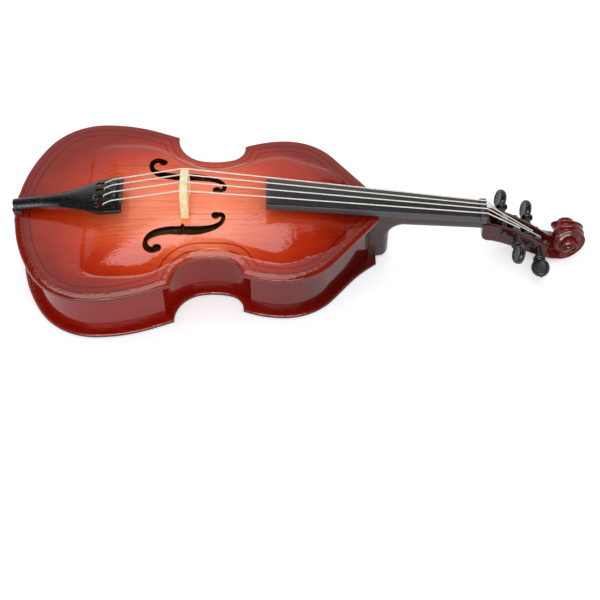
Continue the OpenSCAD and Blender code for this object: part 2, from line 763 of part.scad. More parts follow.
module cord(path, radius) {
    sides = 8;
    last = len(path) - 1;
    rings = [for (i = [0:last])
        let (a = path[max(i - 1, 0)], b = path[i], c = path[min(i + 1, last)],
            into = turned(i == 0 ? c - b : b - a), out = turned(i == last ? b - a : c - b),
            along = turned(into + out), stretch = 1 / max(0.5, along * out),
            side = turned(cross([0, 0.02, 1], along)), up = cross(along, side),
            bend = into - out,
            lean = norm(bend) < 0.001 ? side : turned(bend))
        [for (k = [0:sides - 1])
            let (t = 360 * k / sides, flat = radius * (cos(t) * side + sin(t) * up))
            b + flat + (stretch - 1) * (flat * lean) * lean]];
    skin(rings);
}

function string_y(i, spacing) = (2.5 - i) * spacing;
function nut_z(i) =
    nut_top - nut_round + sqrt(nut_round ^ 2 - string_y(i, nut_spacing) ^ 2) + 0.05;
function ridge_z(i) =
    ridge_top - ridge_round + sqrt(ridge_round ^ 2 - string_y(i, piece_spacing) ^ 2)
        + string_radius + block_gap;

function string_knot(i) =
    [slot_hole_x + 2, string_y(i, piece_spacing), piece_under_z(slot_hole_x + 2) - 0.1];

// A string: from its knot under the tailpiece, over the ridge, the bridge and the nut, and on
// to the top of its winding
module string_span(i) {
    y = string_y(i, piece_spacing);
    over_y = string_y(i, bridge_spacing);
    over_z = bridge_top_z(over_y) + string_radius + block_gap;
    axis = peg_axes[i - 1];
    wound = peg_radius + 3 * string_radius + 0.05;
    leaves = [nut_distance + nut_length, nut_z(i)];
    reach = [axis.x, axis.y] - leaves;
    angle = atan2(reach.y, reach.x) + asin(wound / norm(reach));
    meets = leaves + sqrt(norm(reach) ^ 2 - wound ^ 2) * [cos(angle), sin(angle)];
    placed() color(steel)
        cord([string_knot(i), [slot_hole_x + 2.4, y, ridge_z(i) - 1.7],
            [ridge_x - ridge_width / 2, y, ridge_z(i)],
            [bridge_x - bridge_thickness / 2, over_y, over_z],
            [bridge_x + bridge_thickness / 2, over_y, over_z],
            [nut_distance + nut_length / 2, string_y(i, nut_spacing), nut_z(i) + 0.1],
            [nut_distance + nut_length, string_y(i, nut_spacing), nut_z(i)],
            [meets.x, axis.z * winding_at[i - 1], meets.y]],
            string_radius);
}

knot_radius = 0.65;

// The knot that holds each string under the tailpiece
module string_knots() placed() color(steel)
    for (i = [1:4])
        difference() {
            translate(string_knot(i) - [0, 0, knot_radius]) sphere(r = knot_radius, $fn = 24);
            translate(string_knot(i) - [knot_radius, knot_radius, 0]) cube(2 * knot_radius);
        }

tailgut_radius = 0.35;

module tailgut() placed() color(ebony) {
    strand = 1.2;
    loop = button_neck + tailgut_radius + 0.03;
    loop_x = 1;
    over = saddle_round + tailgut_radius + 0.02;
    bend = [saddle_round - saddle_lip, saddle_seat + 2.2 - saddle_round];
    side = concat(
        [[4, strand, piece_under_z(4) - tailgut_radius - 0.02], [2, strand, bend.y + over]],
        [for (a = [90:45:180]) [bend.x + over * cos(a), strand, bend.y + over * sin(a)]],
        [[loop_x, loop, button_height + 2]]);
    under = [for (a = [0:-30:-180]) [loop_x, loop * cos(a), button_height + loop * sin(a)]];
    cord(concat(side, under, reversed([for (p = side) [p.x, -p.y, p.z]])), tailgut_radius);
}

// ---------------------------------------------------------------- one line per node

belly();
back();
lower_rib("bass");  // lower_rib_bass
lower_rib("treble");  // lower_rib_treble
waist_rib("bass");  // waist_rib_bass
waist_rib("treble");  // waist_rib_treble
upper_rib("bass");  // upper_rib_bass
upper_rib("treble");  // upper_rib_treble
top_block();
bottom_block();
lower_corner_block("bass");  // lower_corner_block_bass
lower_corner_block("treble");  // lower_corner_block_treble
upper_corner_block("bass");  // upper_corner_block_bass
upper_corner_block("treble");  // upper_corner_block_treble
belly_linings();
back_linings();
bass_bar();
sound_post();
neck();
fingerboard();
nut();
saddle();
bridge();
tailpiece();
tailgut();
end_button();
string_span(1);  // string_1
string_span(2);  // string_2
string_span(3);  // string_3
string_span(4);  // string_4
string_knots();
string_winding(1);  // string_winding_1
string_winding(2);  // string_winding_2
string_winding(3);  // string_winding_3
string_winding(4);  // string_winding_4
peg(1);  // peg_1
peg(2);  // peg_2
peg(3);  // peg_3
peg(4);  // peg_4
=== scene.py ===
from math import atan2, cos, degrees, pi, radians, sin, sqrt

import bmesh
import bpy
import numpy as np
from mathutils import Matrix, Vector
from mathutils.geometry import delaunay_2d_cdt


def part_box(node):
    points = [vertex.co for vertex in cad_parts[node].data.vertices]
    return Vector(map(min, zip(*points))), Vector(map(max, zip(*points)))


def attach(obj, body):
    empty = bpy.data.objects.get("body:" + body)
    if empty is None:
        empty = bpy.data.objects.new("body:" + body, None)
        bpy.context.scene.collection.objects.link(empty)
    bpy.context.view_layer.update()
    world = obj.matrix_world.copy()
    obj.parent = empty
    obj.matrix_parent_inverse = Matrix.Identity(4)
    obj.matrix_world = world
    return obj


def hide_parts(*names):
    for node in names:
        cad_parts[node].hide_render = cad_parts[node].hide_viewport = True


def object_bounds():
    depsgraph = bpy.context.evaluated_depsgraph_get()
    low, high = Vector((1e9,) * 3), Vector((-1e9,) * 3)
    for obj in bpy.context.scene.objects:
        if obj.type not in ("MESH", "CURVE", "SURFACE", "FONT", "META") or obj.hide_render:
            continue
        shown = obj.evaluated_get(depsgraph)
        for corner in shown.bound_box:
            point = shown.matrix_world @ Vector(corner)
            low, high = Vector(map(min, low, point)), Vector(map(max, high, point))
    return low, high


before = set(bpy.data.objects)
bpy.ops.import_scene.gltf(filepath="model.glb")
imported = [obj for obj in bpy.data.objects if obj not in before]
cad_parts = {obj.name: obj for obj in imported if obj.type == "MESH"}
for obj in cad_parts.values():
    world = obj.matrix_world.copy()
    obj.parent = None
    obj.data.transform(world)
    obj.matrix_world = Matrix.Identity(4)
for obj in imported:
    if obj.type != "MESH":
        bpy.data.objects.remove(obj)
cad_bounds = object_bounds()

# ------------------------------------------------------------------ View and studio
# The instrument lies on its back on a white table. A white surround lights it, a large soft lamp
# stands behind it, and a long soft box over the table gives the varnish its broad bright patch.

MM = 0.001
scene = bpy.context.scene
scene.view_settings.view_transform = "Standard"


def linear(hex_colour):
    """An sRGB hex colour as linear red, green, blue and alpha."""
    parts = [int(hex_colour[i:i + 2], 16) / 255 for i in (1, 3, 5)]
    return [p / 12.92 if p <= 0.04045 else ((p + 0.055) / 1.055) ** 2.4 for p in parts] + [1.0]


def add(tree, kind, inputs=None, stops=None, **settings):
    """Adds a shader node, or another whose kind is written out. Inputs takes values, sockets or
    nodes, and stops are a ramp's colours."""
    node = tree.nodes.new(kind if "Node" in kind else "ShaderNode" + kind)
    for name, value in settings.items():
        setattr(node, name, value)
    for name, value in (inputs or {}).items():
        if isinstance(value, bpy.types.Node):
            value = value.outputs[0]
        if isinstance(value, bpy.types.NodeSocket):
            tree.links.new(value, node.inputs[name])
        else:
            node.inputs[name].default_value = linear(value) if str(value)[0] == "#" else value
    for i, (place, colour) in enumerate(stops or []):
        if i > 1:
            node.color_ramp.elements.new(place)
        node.color_ramp.elements[i].position = place
        node.color_ramp.elements[i].color = linear(colour)
    return node


def linked(name, data):
    """A new object in the scene."""
    made = bpy.data.objects.new(name, data)
    scene.collection.objects.link(made)
    return made


def pointed(thing, place, target):
    """Sets a camera or a lamp at a place in millimetres, turned towards its target."""
    thing.location = Vector(place) * MM
    turn = Vector(target) - Vector(place)
    thing.rotation_euler = turn.to_track_quat("-Z", "Y").to_euler()


def emptied(owner):
    """The cleared node tree of a world or a material."""
    owner.use_nodes = True
    owner.node_tree.nodes.clear()
    return owner.node_tree


def directly_seen(ray):
    """One for what the camera sees, straight or through glass, and nought for the rest."""
    return add(ray.id_data, "Math", {
        0: ray.outputs["Is Camera Ray"], 1: ray.outputs["Is Transmission Ray"]},
        operation="MAXIMUM")


scene.camera = linked("camera", bpy.data.cameras.new("camera"))
pointed(scene.camera, (-1.93, -291.5, 369.2), (-1.93, -23.34, 0.0))
scene.camera.data.lens = 78
scene.camera.data.shift_x = 0.0067
scene.camera.data.clip_start = 0.01

AMBIENT = 0.98
scene.world = bpy.data.worlds.new("white_surround")
tree = emptied(scene.world)
ray = add(tree, "LightPath")
way = add(tree, "TexCoord").outputs["Generated"]
split = add(tree, "SeparateXYZ", {0: way})
turned = add(tree, "Math", {0: split.outputs[0], 1: split.outputs[1]}, operation="ARCTAN2")
level_up = split.outputs[2]


def up(angle):
    """The height on a unit sphere of an angle above the table in degrees."""
    return sin(radians(angle))


def between(*edges):
    """The product of feathered edges: a source, its start and end, and the levels there."""
    light = 1.0
    for source, start, end, low, high in edges:
        edge = add(tree, "MapRange", {0: source, 1: start, 2: end, 3: low, 4: high},
                   interpolation_type="SMOOTHSTEP")
        light = add(tree, "Math", {0: light, 1: edge}, operation="MULTIPLY")
    return light


# The soft box hangs from 55 to 79 degrees above the table, and its right side is feathered. The
# wall under it is white up to its edge, and the walls on both sides of that up to 40 degrees. A
# second soft box hangs behind the camera.
lit = between((level_up, up(54), up(56.5), 0, 4.3), (turned, radians(-38), radians(-34), 0, 1),
              (turned, radians(2), radians(9), 1, 0), (level_up, up(78), up(80), 1, 0))
under_box = between((turned, radians(-26), radians(-21), 0, 1),
                    (turned, radians(16), radians(20), 1, 0))
wall_top = add(tree, "Math", {0: under_box, 1: -0.187, 2: level_up}, operation="MULTIPLY_ADD")
walls = between((wall_top, up(39.7), up(41), 1, 0))
away = add(tree, "Math", {0: turned}, operation="ABSOLUTE")
front = between((away, radians(146), radians(154), 0, 9.0), (level_up, up(24), up(27), 0, 1),
                (level_up, up(50), up(53), 1, 0))
reflected = 0.0
for shining in (walls, lit, front):
    reflected = add(tree, "Math", {0: reflected, 1: shining}, operation="MAXIMUM")
level = add(tree, "Mix", {0: ray.outputs["Is Glossy Ray"], 2: AMBIENT, 3: reflected})
level = add(tree, "Mix", {0: directly_seen(ray), 2: level, 3: 1.0})
surround = add(tree, "Background", {"Strength": level})
add(tree, "OutputWorld", {"Surface": surround})

LAMPS = (  # name, place and aim in mm, side in mm, power in watts, shows in gloss
    ("back_lamp", (-60, 520, 640), (0, 0, 0), 420, 0.9, False),
    ("fill_lamp", (0, -560, 420), (0, 0, 0), 420, 1.1, False),
    ("glint_lamp", (-90, -520, 520), (-10, 0, 10), 70, 0.25, True))
for name, place, target, side, power, glossy in LAMPS:
    lamp = linked(name, bpy.data.lights.new(name, "AREA"))
    pointed(lamp, place, target)
    lamp.data.size = side * MM
    lamp.data.energy = power
    lamp.visible_glossy = glossy

# The table top keeps the shadow, and shows white to the eye and brighter in the varnish
table = bpy.data.materials.new("white_table_laminate")
tree = emptied(table)
ray = add(tree, "LightPath")
glow = add(tree, "Math", {0: directly_seen(ray), 1: 0.34}, operation="MULTIPLY")
glow = add(tree, "Math", {0: ray.outputs["Is Glossy Ray"], 1: 0.15, 2: glow},
           operation="MULTIPLY_ADD")
both = add(tree, "AddShader", {
    0: add(tree, "BsdfDiffuse", {"Color": "#f6f7fa"}),
    1: add(tree, "Emission", {"Strength": glow})})
add(tree, "OutputMaterial", {"Surface": both})
mesh = bpy.data.meshes.new("table_top")
mesh.from_pydata([(x, y, -5e-5) for x, y in ((-3, -3), (3, -3), (3, 3), (-3, 3))], [],
                 [(0, 1, 2, 3)])
mesh.materials.append(table)
linked("table_top", mesh)

# ------------------------------------------------------------------ Back
# The back is a sheet of pressed maple plywood, 2 mm thick, cut to the instrument's outline. It
# lies flat, stands out past the ribs, and is sprayed wine red with its rim rounded over.

# Distances along the instrument are written from the tail end of the body, in millimetres
TAIL = cad_bounds[0][0] / MM + 1.6
BODY_LENGTH = 126.0
PLATE = 2.0
OVERHANG = 2.8
RIB_TOP = 20.5
BELLY_RIM = RIB_TOP + PLATE


def arc(centre, radius, start, end, count):
    turn = np.radians(np.linspace(start, end, count + 1))
    return np.array(centre) + radius * np.stack([np.cos(turn), np.sin(turn)], 1)


SIDE, SIDE_RADIUS = np.array([28.5, 15.9]), 23.8
END_RADIUS = (SIDE @ SIDE - SIDE_RADIUS ** 2) / (2 * (SIDE[0] - SIDE_RADIUS))
END_TURN = degrees(atan2(SIDE[1], SIDE[0] - END_RADIUS))
FLANK, FLANK_RADIUS, FLANK_TURN = np.array([28.5, -15.8]), 55.5, 69.4
WAIST, WAIST_RADIUS, LOW_RADIUS, HIGH_RADIUS = np.array([68.5, 45.6]), 24, 11, 6
LOW_BACK, HIGH_AHEAD = 2.2, 4.7
WAIST_LOW = WAIST - (LOW_BACK, sqrt((WAIST_RADIUS - LOW_RADIUS) ** 2 - LOW_BACK ** 2))
WAIST_HIGH = WAIST + (HIGH_AHEAD, -sqrt((WAIST_RADIUS - HIGH_RADIUS) ** 2 - HIGH_AHEAD ** 2))
CROWN_RADIUS, SHOULDER_RADIUS = 38, 22.5
CROWN, SHOULDER, SHOULDER_TURN = np.array([93.5, -6.3]), np.array([93.5, 9.2]), 39.8


def lower_corner(inset):
    x = WAIST_LOW[0] - LOW_RADIUS - inset
    p = arc(FLANK, FLANK_RADIUS - inset, FLANK_TURN, FLANK_TURN, 0)[0]
    return np.array([x, p[1] - (x - p[0]) / np.tan(radians(FLANK_TURN))])


def upper_corner(inset):
    x = WAIST_HIGH[0] + HIGH_RADIUS + inset
    return np.array([x, CROWN[1] + sqrt((CROWN_RADIUS - inset) ** 2 - (CROWN[0] - x) ** 2)])


def lower_bout(inset):
    return np.concatenate([
        [[inset, 0], [inset, 2.5], [inset, 5]],
        arc((END_RADIUS, 0), END_RADIUS - inset, 172, END_TURN, 36),
        arc(SIDE, SIDE_RADIUS - inset, END_TURN, 90, 40)[1:],
        arc(FLANK, FLANK_RADIUS - inset, 90, FLANK_TURN, 26)[1:],
        [lower_corner(inset)]])


def waist(inset):
    tail, head = lower_corner(inset), upper_corner(inset)
    low_tilt = np.arcsin((WAIST_LOW[1] - tail[1]) / (LOW_RADIUS + inset))
    high_tilt = np.arcsin((head[1] - WAIST_HIGH[1]) / (HIGH_RADIUS + inset))
    low_turn, high_turn = (360 + degrees(atan2(*(p - WAIST)[::-1]))
                           for p in (WAIST_LOW, WAIST_HIGH))
    return np.concatenate([
        [tail],
        arc(WAIST_LOW, LOW_RADIUS + inset, 183 + max(0, degrees(low_tilt)), low_turn, 22),
        arc(WAIST, WAIST_RADIUS + inset, low_turn, high_turn, 14)[1:],
        arc(WAIST_HIGH, HIGH_RADIUS + inset, high_turn, 360 + min(-2, degrees(high_tilt) - 3),
            16)[1:],
        [head]])


def upper_bout(inset, end_x):
    head = upper_corner(inset)
    start = degrees(atan2(head[1] - CROWN[1], head[0] - CROWN[0]))
    p = arc(SHOULDER, SHOULDER_RADIUS - inset, SHOULDER_TURN, SHOULDER_TURN, 0)[0]
    slope = 1 / np.tan(radians(SHOULDER_TURN))
    return np.concatenate([
        arc(CROWN, CROWN_RADIUS - inset, start, 90, 18)[:-1],
        arc(SHOULDER, SHOULDER_RADIUS - inset, 90, SHOULDER_TURN, 30),
        [[x, p[1] - (x - p[0]) * slope] for x in np.linspace(p[0], end_x, 18)[1:]]])


def outline(inset):
    """The whole body seen from above, anticlockwise."""
    half = np.concatenate([lower_bout(inset), waist(inset)[1:-1],
                           upper_bout(inset, BODY_LENGTH - inset)])
    return np.concatenate([half * (1, -1), half[:0:-1]])


def inside(points, loops):
    """Which points lie inside an odd number of the loops."""
    odd = np.zeros(len(points), bool)
    for loop in loops:
        a, b = loop, np.roll(loop, -1, 0)
        climb = np.where(b[:, 1] == a[:, 1], 1e-9, b[:, 1] - a[:, 1])
        over = (a[:, 1] > points[:, 1:]) != (b[:, 1] > points[:, 1:])
        cut = a[:, 0] + (points[:, 1:] - a[:, 1]) * (b[:, 0] - a[:, 0]) / climb
        odd ^= (over & (points[:, :1] < cut)).sum(1) % 2 == 1
    return odd


def distance(points, loops):
    """Distance from each point to the nearest of the loops."""
    nearest = np.full(len(points), 1e9)
    for loop in loops:
        run = np.roll(loop, -1, 0) - loop
        length = (run ** 2).sum(1) + 1e-12
        for rows in np.array_split(np.arange(len(points)), len(points) // 2000 + 1):
            p = points[rows][:, None] - loop
            t = np.clip((p * run).sum(2) / length, 0, 1)
            gap = np.sqrt(((p - t[..., None] * run) ** 2).sum(2)).min(1)
            nearest[rows] = np.minimum(nearest[rows], gap)
    return nearest


def set_in(loop, inset):
    """A loop moved sideways into the wood, which lies on its left, or drawn again further in."""
    if callable(loop):
        return loop(inset)
    run = np.roll(loop, -1, 0) - loop
    run /= np.linalg.norm(run, axis=1)[:, None]
    left = np.stack([-run[:, 1], run[:, 0]], 1)
    before = np.roll(left, 1, 0)
    both = left + before
    return loop + inset * both / np.maximum(0.5, 1 + (left * before).sum(1))[:, None]


def sheet(loops, top, under, rounding, spacing=2.0, steps=4, flatter=1.0):
    """A closed board between two surfaces, with its rims rounded over. The first loop runs
    anticlockwise, and the loops after it are holes that run clockwise."""
    soft = radians(90) * np.arange(steps + 1) / steps
    rounding = np.broadcast_to(rounding, len(loops))
    inner = [set_in(loop, r) for loop, r in zip(loops, rounding)]
    low, high = inner[0].min(0), inner[0].max(0)
    xs = np.arange(low[0] + spacing / 2, high[0], spacing * 0.866)
    ys = np.arange(low[1] + spacing / 2, high[1], spacing)
    grid = np.array([(x, y + spacing / 2 * (i % 2)) for i, x in enumerate(xs) for y in ys])
    grid = grid.reshape(-1, 2)
    grid = grid[inside(grid, inner)]
    grid = grid[distance(grid, inner) > 0.55 * spacing]
    flat = np.concatenate(inner + [grid])
    edges, start = [], 0
    for loop in inner:
        edges += [(start + i, start + (i + 1) % len(loop)) for i in range(len(loop))]
        start += len(loop)
    places, _, triangles, sources, _, _ = delaunay_2d_cdt(
        [Vector(p) for p in flat], edges, [], 1, 1e-6)
    places = np.array([tuple(p) for p in places])
    triangles = np.array(triangles)
    triangles = triangles[~inside(places[triangles].mean(1), inner[1:])]
    source = np.array([s[0] for s in sources])
    triangles = source[triangles]
    points = [np.column_stack([flat, top(flat)]), np.column_stack([flat, under(flat)])]
    count = len(flat)
    faces = triangles.tolist() + (triangles[:, ::-1] + count).tolist()
    base, start = 2 * count, 0
    for loop, r in zip(loops, rounding):
        insets, drops = r * (1 - np.sin(soft)), r * (1 - np.cos(soft)) * flatter
        size = len(set_in(loop, 0))
        rings = [np.arange(size) + start]
        for k in list(range(1, steps + 1)) + list(range(steps, 0, -1)):
            edge = set_in(loop, insets[k])
            above = len(rings) <= steps
            height = top(edge) - drops[k] if above else under(edge) + drops[k]
            points.append(np.column_stack([edge, height]))
            rings.append(np.arange(size) + base)
            base += size
        rings.append(np.arange(size) + start + count)
        for upper, lower in zip(rings, rings[1:]):
            faces += np.stack([upper, lower, np.roll(lower, -1), np.roll(upper, -1)], 1).tolist()
        start += size
    return np.concatenate(points), faces


def mounted(name, mesh, angle, body, node):
    """The finished piece of a mesh, on its body and in place of a solid."""
    mesh.shade_smooth()
    mesh.set_sharp_from_angle(angle=radians(angle))
    made = linked(name, mesh)
    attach(made, body)
    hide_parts(node)


def piece(name, solids, materials, body="body", angle=32, node=None, fields=None):
    """A piece from closed solids in millimetres, measured from the tail of the body. A solid
    may carry the number of its material."""
    mesh = bpy.data.meshes.new(name)
    points, faces, paint = [], [], []
    for corners, sides, *number in solids:
        shift = sum(len(p) for p in points)
        faces += [[int(v) + shift for v in face] for face in sides]
        paint += (number or [0]) * len(sides)
        points.append(corners + (TAIL, 0, 0))
    points = np.concatenate(points)
    mesh.from_pydata((points * MM).tolist(), [], faces)
    mesh.polygons.foreach_set("material_index", paint)
    for field, values in (fields or {}).items():
        mesh.attributes.new(field, "FLOAT", "POINT").data.foreach_set("value", values)
    for material in materials:
        mesh.materials.append(material)
    shape = bmesh.new()
    shape.from_mesh(mesh)
    bmesh.ops.remove_doubles(shape, verts=shape.verts, dist=2e-6)
    bmesh.ops.dissolve_degenerate(shape, edges=shape.edges, dist=1e-6)
    bmesh.ops.recalc_face_normals(shape, faces=shape.faces)
    shape.to_mesh(mesh)
    shape.free()
    mounted(name, mesh, angle, body, node or name)


def level_at(height):
    return lambda p: np.full(len(p), float(height))


def surface(name):
    """A new material, with its tree, its shader and the piece's own place in millimetres."""
    material = bpy.data.materials.new(name)
    tree = emptied(material)
    shader = add(tree, "BsdfPrincipled")
    add(tree, "OutputMaterial", {"Surface": shader})
    place = add(tree, "Mapping",
                {0: add(tree, "TexCoord").outputs["Object"], 3: (1000, 1000, 1000)})
    return material, tree, shader, place


def stretched(tree, place, waves, detail, **more):
    """Noise that is drawn out along the grain, with its waves per millimetre on each axis."""
    return add(tree, "TexNoise", {
        0: add(tree, "Mapping", {0: place, 3: waves}), "Scale": 1.0,
        "Detail": detail, **more})


def tinted(colour, paint, source, start, end, low, high, **settings):
    """A colour with a paint over it, whose cover goes from low to high with the source."""
    tree = colour.id_data
    cover = add(tree, "MapRange", {0: source, 1: start, 2: end, 3: low, 4: high}, **settings)
    return add(tree, "MixRGB", {0: cover, 1: colour, 2: paint})


def finished(shader, colour, roughness, relief=None, strength=1.0, depth=0.0, **more):
    """Gives a surface its colour, its roughness and a relief of a depth in metres."""
    tree = shader.id_data
    for socket, value in {"Base Color": colour, "Roughness": roughness, **more}.items():
        if isinstance(value, bpy.types.Node):
            tree.links.new(value.outputs[0], shader.inputs[socket])
        else:
            shader.inputs[socket].default_value = value
    if relief:
        bump = add(tree, "Bump", {"Height": relief, "Strength": strength, "Distance": depth})
        tree.links.new(bump.outputs[0], shader.inputs["Normal"])


# Nitrocellulose lacquer, sprayed wine red over maple: deep gloss, a slow ripple from the spray,
# and faint figure that shows through. Its rim is darker, almost black at the outer edge and on
# the lower rounding towards the table, and the face inside the body is left bare.
back_paint, tree, shader, place = surface("sprayed_wine_red_lacquer")
figure = stretched(tree, place, (0.12, 0.9, 0.5), 3.0)
wine = add(tree, "ValToRGB", {0: figure}, stops=((0.3, "#7a1004"), (0.7, "#981705")))
rim = add(tree, "Attribute", attribute_name="rim_gap").outputs["Fac"]
at = add(tree, "SeparateXYZ", {0: place})
colour = tinted(wine, "#2a0c08", rim, 0.0, 0.22, 0.9, 0.0)
colour = tinted(colour, "#2a1512", at.outputs[2], 0.9, 1.3, 0.9, 0.0)
colour = tinted(colour, "#2c0c0b", at, TAIL + 80, TAIL + 116, 0.0, 0.72)
inner_side = add(tree, "MapRange", {
    0: add(tree, "Attribute", attribute_name="body_gap").outputs["Fac"],
    1: OVERHANG + 1.0, 2: OVERHANG + 1.2})
upper_side = add(tree, "MapRange", {0: at.outputs[2], 1: 1.9, 2: 1.95})
bare = add(tree, "Math", {0: inner_side, 1: upper_side}, operation="MULTIPLY")
colour = add(tree, "MixRGB", {0: bare, 1: colour, 2: "#b8946a"})
ripple = add(tree, "TexNoise", {0: place, "Scale": 1.1, "Detail": 2.5})
finished(shader, colour, 0.06, ripple, 0.9, 0.0001)


def back_outline(inset):
    """The body's outline, with a small flare where the back meets the heel."""
    loop = outline(inset)
    flare = 2.9 * np.clip((loop[:, 0] - 117) / 9, 0, 1) ** 1.6
    return loop + np.stack([0 * flare, np.sign(loop[:, 1]) * flare], 1)


solid = sheet([back_outline], level_at(PLATE), level_at(0), 1.6, 2.2, 8, 0.55)
plan = solid[0][:, :2]
piece("back", [solid], [back_paint],
      fields={"rim_gap": distance(plan, [back_outline(0)]),
              "body_gap": distance(plan, [outline(0)])})

# ------------------------------------------------------------------ Ribs
# Three strips of 1.2 mm maple veneer on each side, bent hot and glued between the two plates,
# set back from their edges. They meet at the four corners and at the tail.

# The same lacquer over veneer: the grain runs along the strip, so it shows as level streaks
rib_paint, tree, shader, place = surface("lacquered_maple_veneer")
streaks = stretched(tree, place, (0.05, 0.05, 1.6), 4.0)
maroon = add(tree, "ValToRGB", {0: streaks}, stops=((0.2, "#7e150c"), (0.8, "#8e1a10")))
at = add(tree, "SeparateXYZ", {0: place})
maroon = tinted(maroon, "#2e0c0c", at, TAIL + 62, TAIL + 112, 0.0, 0.75)
ripple = add(tree, "TexNoise", {0: place, "Scale": 0.3, "Detail": 2.0})
finished(shader, maroon, 0.07, ripple, 0.4, 0.00006)

RIB_IN, RIB_END = OVERHANG + 1.2, BODY_LENGTH - OVERHANG
for part, outer, inner in (
        ("lower", lower_bout(OVERHANG), lower_bout(RIB_IN)),
        ("waist", waist(OVERHANG), waist(RIB_IN)),
        ("upper", upper_bout(OVERHANG, RIB_END), upper_bout(RIB_IN, RIB_END))):
    strip = np.concatenate([outer, inner[::-1]])
    for side, flat in (("bass", strip[::-1]), ("treble", strip * (1, -1))):
        solid = sheet([flat], level_at(RIB_TOP + 0.2), level_at(PLATE - 0.2), 0.05, 9, 1)
        piece(f"{part}_rib_{side}", [solid], [rib_paint])

# ------------------------------------------------------------------ Blocks, linings, bar, post
# Inside, spruce blocks fill the ends and the corners, thin linings widen the glue joints, a bar
# runs under the bass side of the belly, and a round post stands under the treble side.

# Planed spruce, unvarnished: pale and matt, with darker winter grain about 1 mm apart
spruce, tree, shader, place = surface("planed_spruce")
grain = add(tree, "TexWave", {
    0: add(tree, "Mapping", {0: place, 3: (0.03, 1, 0.2)}),
    "Scale": 1.0, "Distortion": 1.5, "Detail": 2.0}, bands_direction="Y")
tone = add(tree, "ValToRGB", {0: grain}, stops=((0.3, "#cfa97b"), (0.9, "#a97f50")))
finished(shader, tone, 0.75, grain, 0.2, 0.00005)
corner_blocks = [f"{end}_corner_block_{side}" for end in ("lower", "upper")
                 for side in ("bass", "treble")]
for node in ["top_block", "bottom_block", "belly_linings", "back_linings", "bass_bar",
             "sound_post"] + corner_blocks:
    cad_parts[node].data.materials.clear()
    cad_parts[node].data.materials.append(spruce)

# ------------------------------------------------------------------ Belly
# Pressed spruce plywood with a low dome, sprayed from amber in the middle to dark red at the rim,
# then lacquered. Two f-shaped sound holes are routed in it, and two lines are inked round its rim.

plate_edge = outline(0)
# The crown stands 0.3% prouder than the solid's
dome_rise = (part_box("belly")[1].z / MM - BELLY_RIM) / 0.997


def through(points, steps):
    """A smooth curve through a row of points."""
    points = np.array(points)
    padded = np.concatenate([points[:1], points, points[-1:]])
    t = np.arange(steps)[:, None] / steps
    runs = [0.5 * (2 * b + (c - a) * t + (2 * a - 5 * b + 4 * c - d) * t ** 2
                   + (3 * b - a - 3 * c + d) * t ** 3)
            for a, b, c, d in zip(padded, padded[1:], padded[2:], padded[3:])]
    return np.concatenate(runs + [points[-1:]])


# Where the dome starts on each side: places along the body and distances from its middle
crease_line = through([[25, 29.5], [45, 29], [57, 22.5], [68, 17.5], [80, 21], [92, 24],
                       [104, 20], [115, 14]], 12)


def along(line, x):
    """How far a line of points stands out at x."""
    return np.interp(x, line[:, 0], line[:, 1])


def rise(p):
    """Height of the dome over the belly's rim, with a soft fold where it starts."""
    half = along(crease_line, p[:, 0])
    across = 0.633 * (p[:, 1] / half) ** 2 + 0.367 * (p[:, 1] / half) ** 16
    out = (((p[:, 0] - 70) / 45) ** 12 + np.minimum(across, 4) ** 3) ** (1 / 3)
    return dome_rise * 0.5 * (1 - out + np.sqrt((1 - out) ** 2 + 0.004)) - 0.004


def merged(shapes):
    """The outline of several flat shapes that overlap."""
    corners = np.concatenate(shapes)
    rings, start = [], 0
    for shape in shapes:
        rings.append(list(range(start, start + len(shape))))
        start += len(shape)
    places, _, faces, _, _, owners = delaunay_2d_cdt(
        [Vector(p) for p in corners], [], rings, 1, 1e-4)
    sides = {}
    for face, owner in zip(faces, owners):
        if owner:
            for a, b in zip(face, face[1:] + face[:1]):
                sides[a] = sides.get(a, []) + [b]
    inner = {(b, a) for a in sides for b in sides[a]}
    follow = {a: b for a in sides for b in sides[a] if (a, b) not in inner}
    at = max(follow, key=lambda i: places[i][0])
    loop, first = [], at
    while not loop or at != first:
        loop.append(places[at])
        at = follow[at]
    return np.array([tuple(p) for p in loop])


def evened(loop, step):
    """A closed loop with its points spaced evenly."""
    closed = np.concatenate([loop, loop[:1]])
    run = np.concatenate([[0], np.cumsum(np.linalg.norm(np.diff(closed, axis=0), axis=1))])
    spots = np.linspace(0, run[-1], int(run[-1] / step) + 1)[:-1]
    return np.stack([np.interp(spots, run, closed[:, k]) for k in (0, 1)], 1)


# A sound hole: its stem as places, distances from the middle and half widths, then its two
# round eyes and its two nicks
stem = through([
    [50.2, 19.7, 1.1], [48.6, 20.2, 1.15], [46.9, 19.1, 1.05], [46.4, 17.1, 0.75],
    [47.1, 15.2, 0.95], [48.8, 13.7, 1.35], [51.2, 12.7, 1.5], [54.6, 12.1, 1.65],
    [59.1, 12.1, 1.8], [63.6, 11.9, 1.7], [67.4, 11.2, 1.35], [70, 10.2, 1.05],
    [71.7, 8.9, 0.8], [72.5, 7.3, 0.7], [72.2, 5.8, 0.85], [70.9, 5.2, 1]], 5)
ahead = np.gradient(stem[:, :2], axis=0)
ahead /= np.linalg.norm(ahead, axis=1)[:, None]
across = np.stack([-ahead[:, 1], ahead[:, 0]], 1) * stem[:, 2:]
shapes = [np.concatenate([stem[:, :2] + across, (stem[:, :2] - across)[::-1]]),
          arc((50.4, 19.25), 1.5, 0, 352.5, 47), arc((69.9, 5.7), 1.45, 0, 352.5, 47)]
for side in (-1, 1):
    shapes.append(np.array([[59.1 + side * 0.4 - 0.8, 12.1 + side * 1.6],
                            [59.1 + side * 0.4, 12.1 + side * 3.1],
                            [59.1 + side * 0.4 + 0.8, 12.1 + side * 1.6]]))
hole = evened(merged(shapes), 0.28)[::-1]
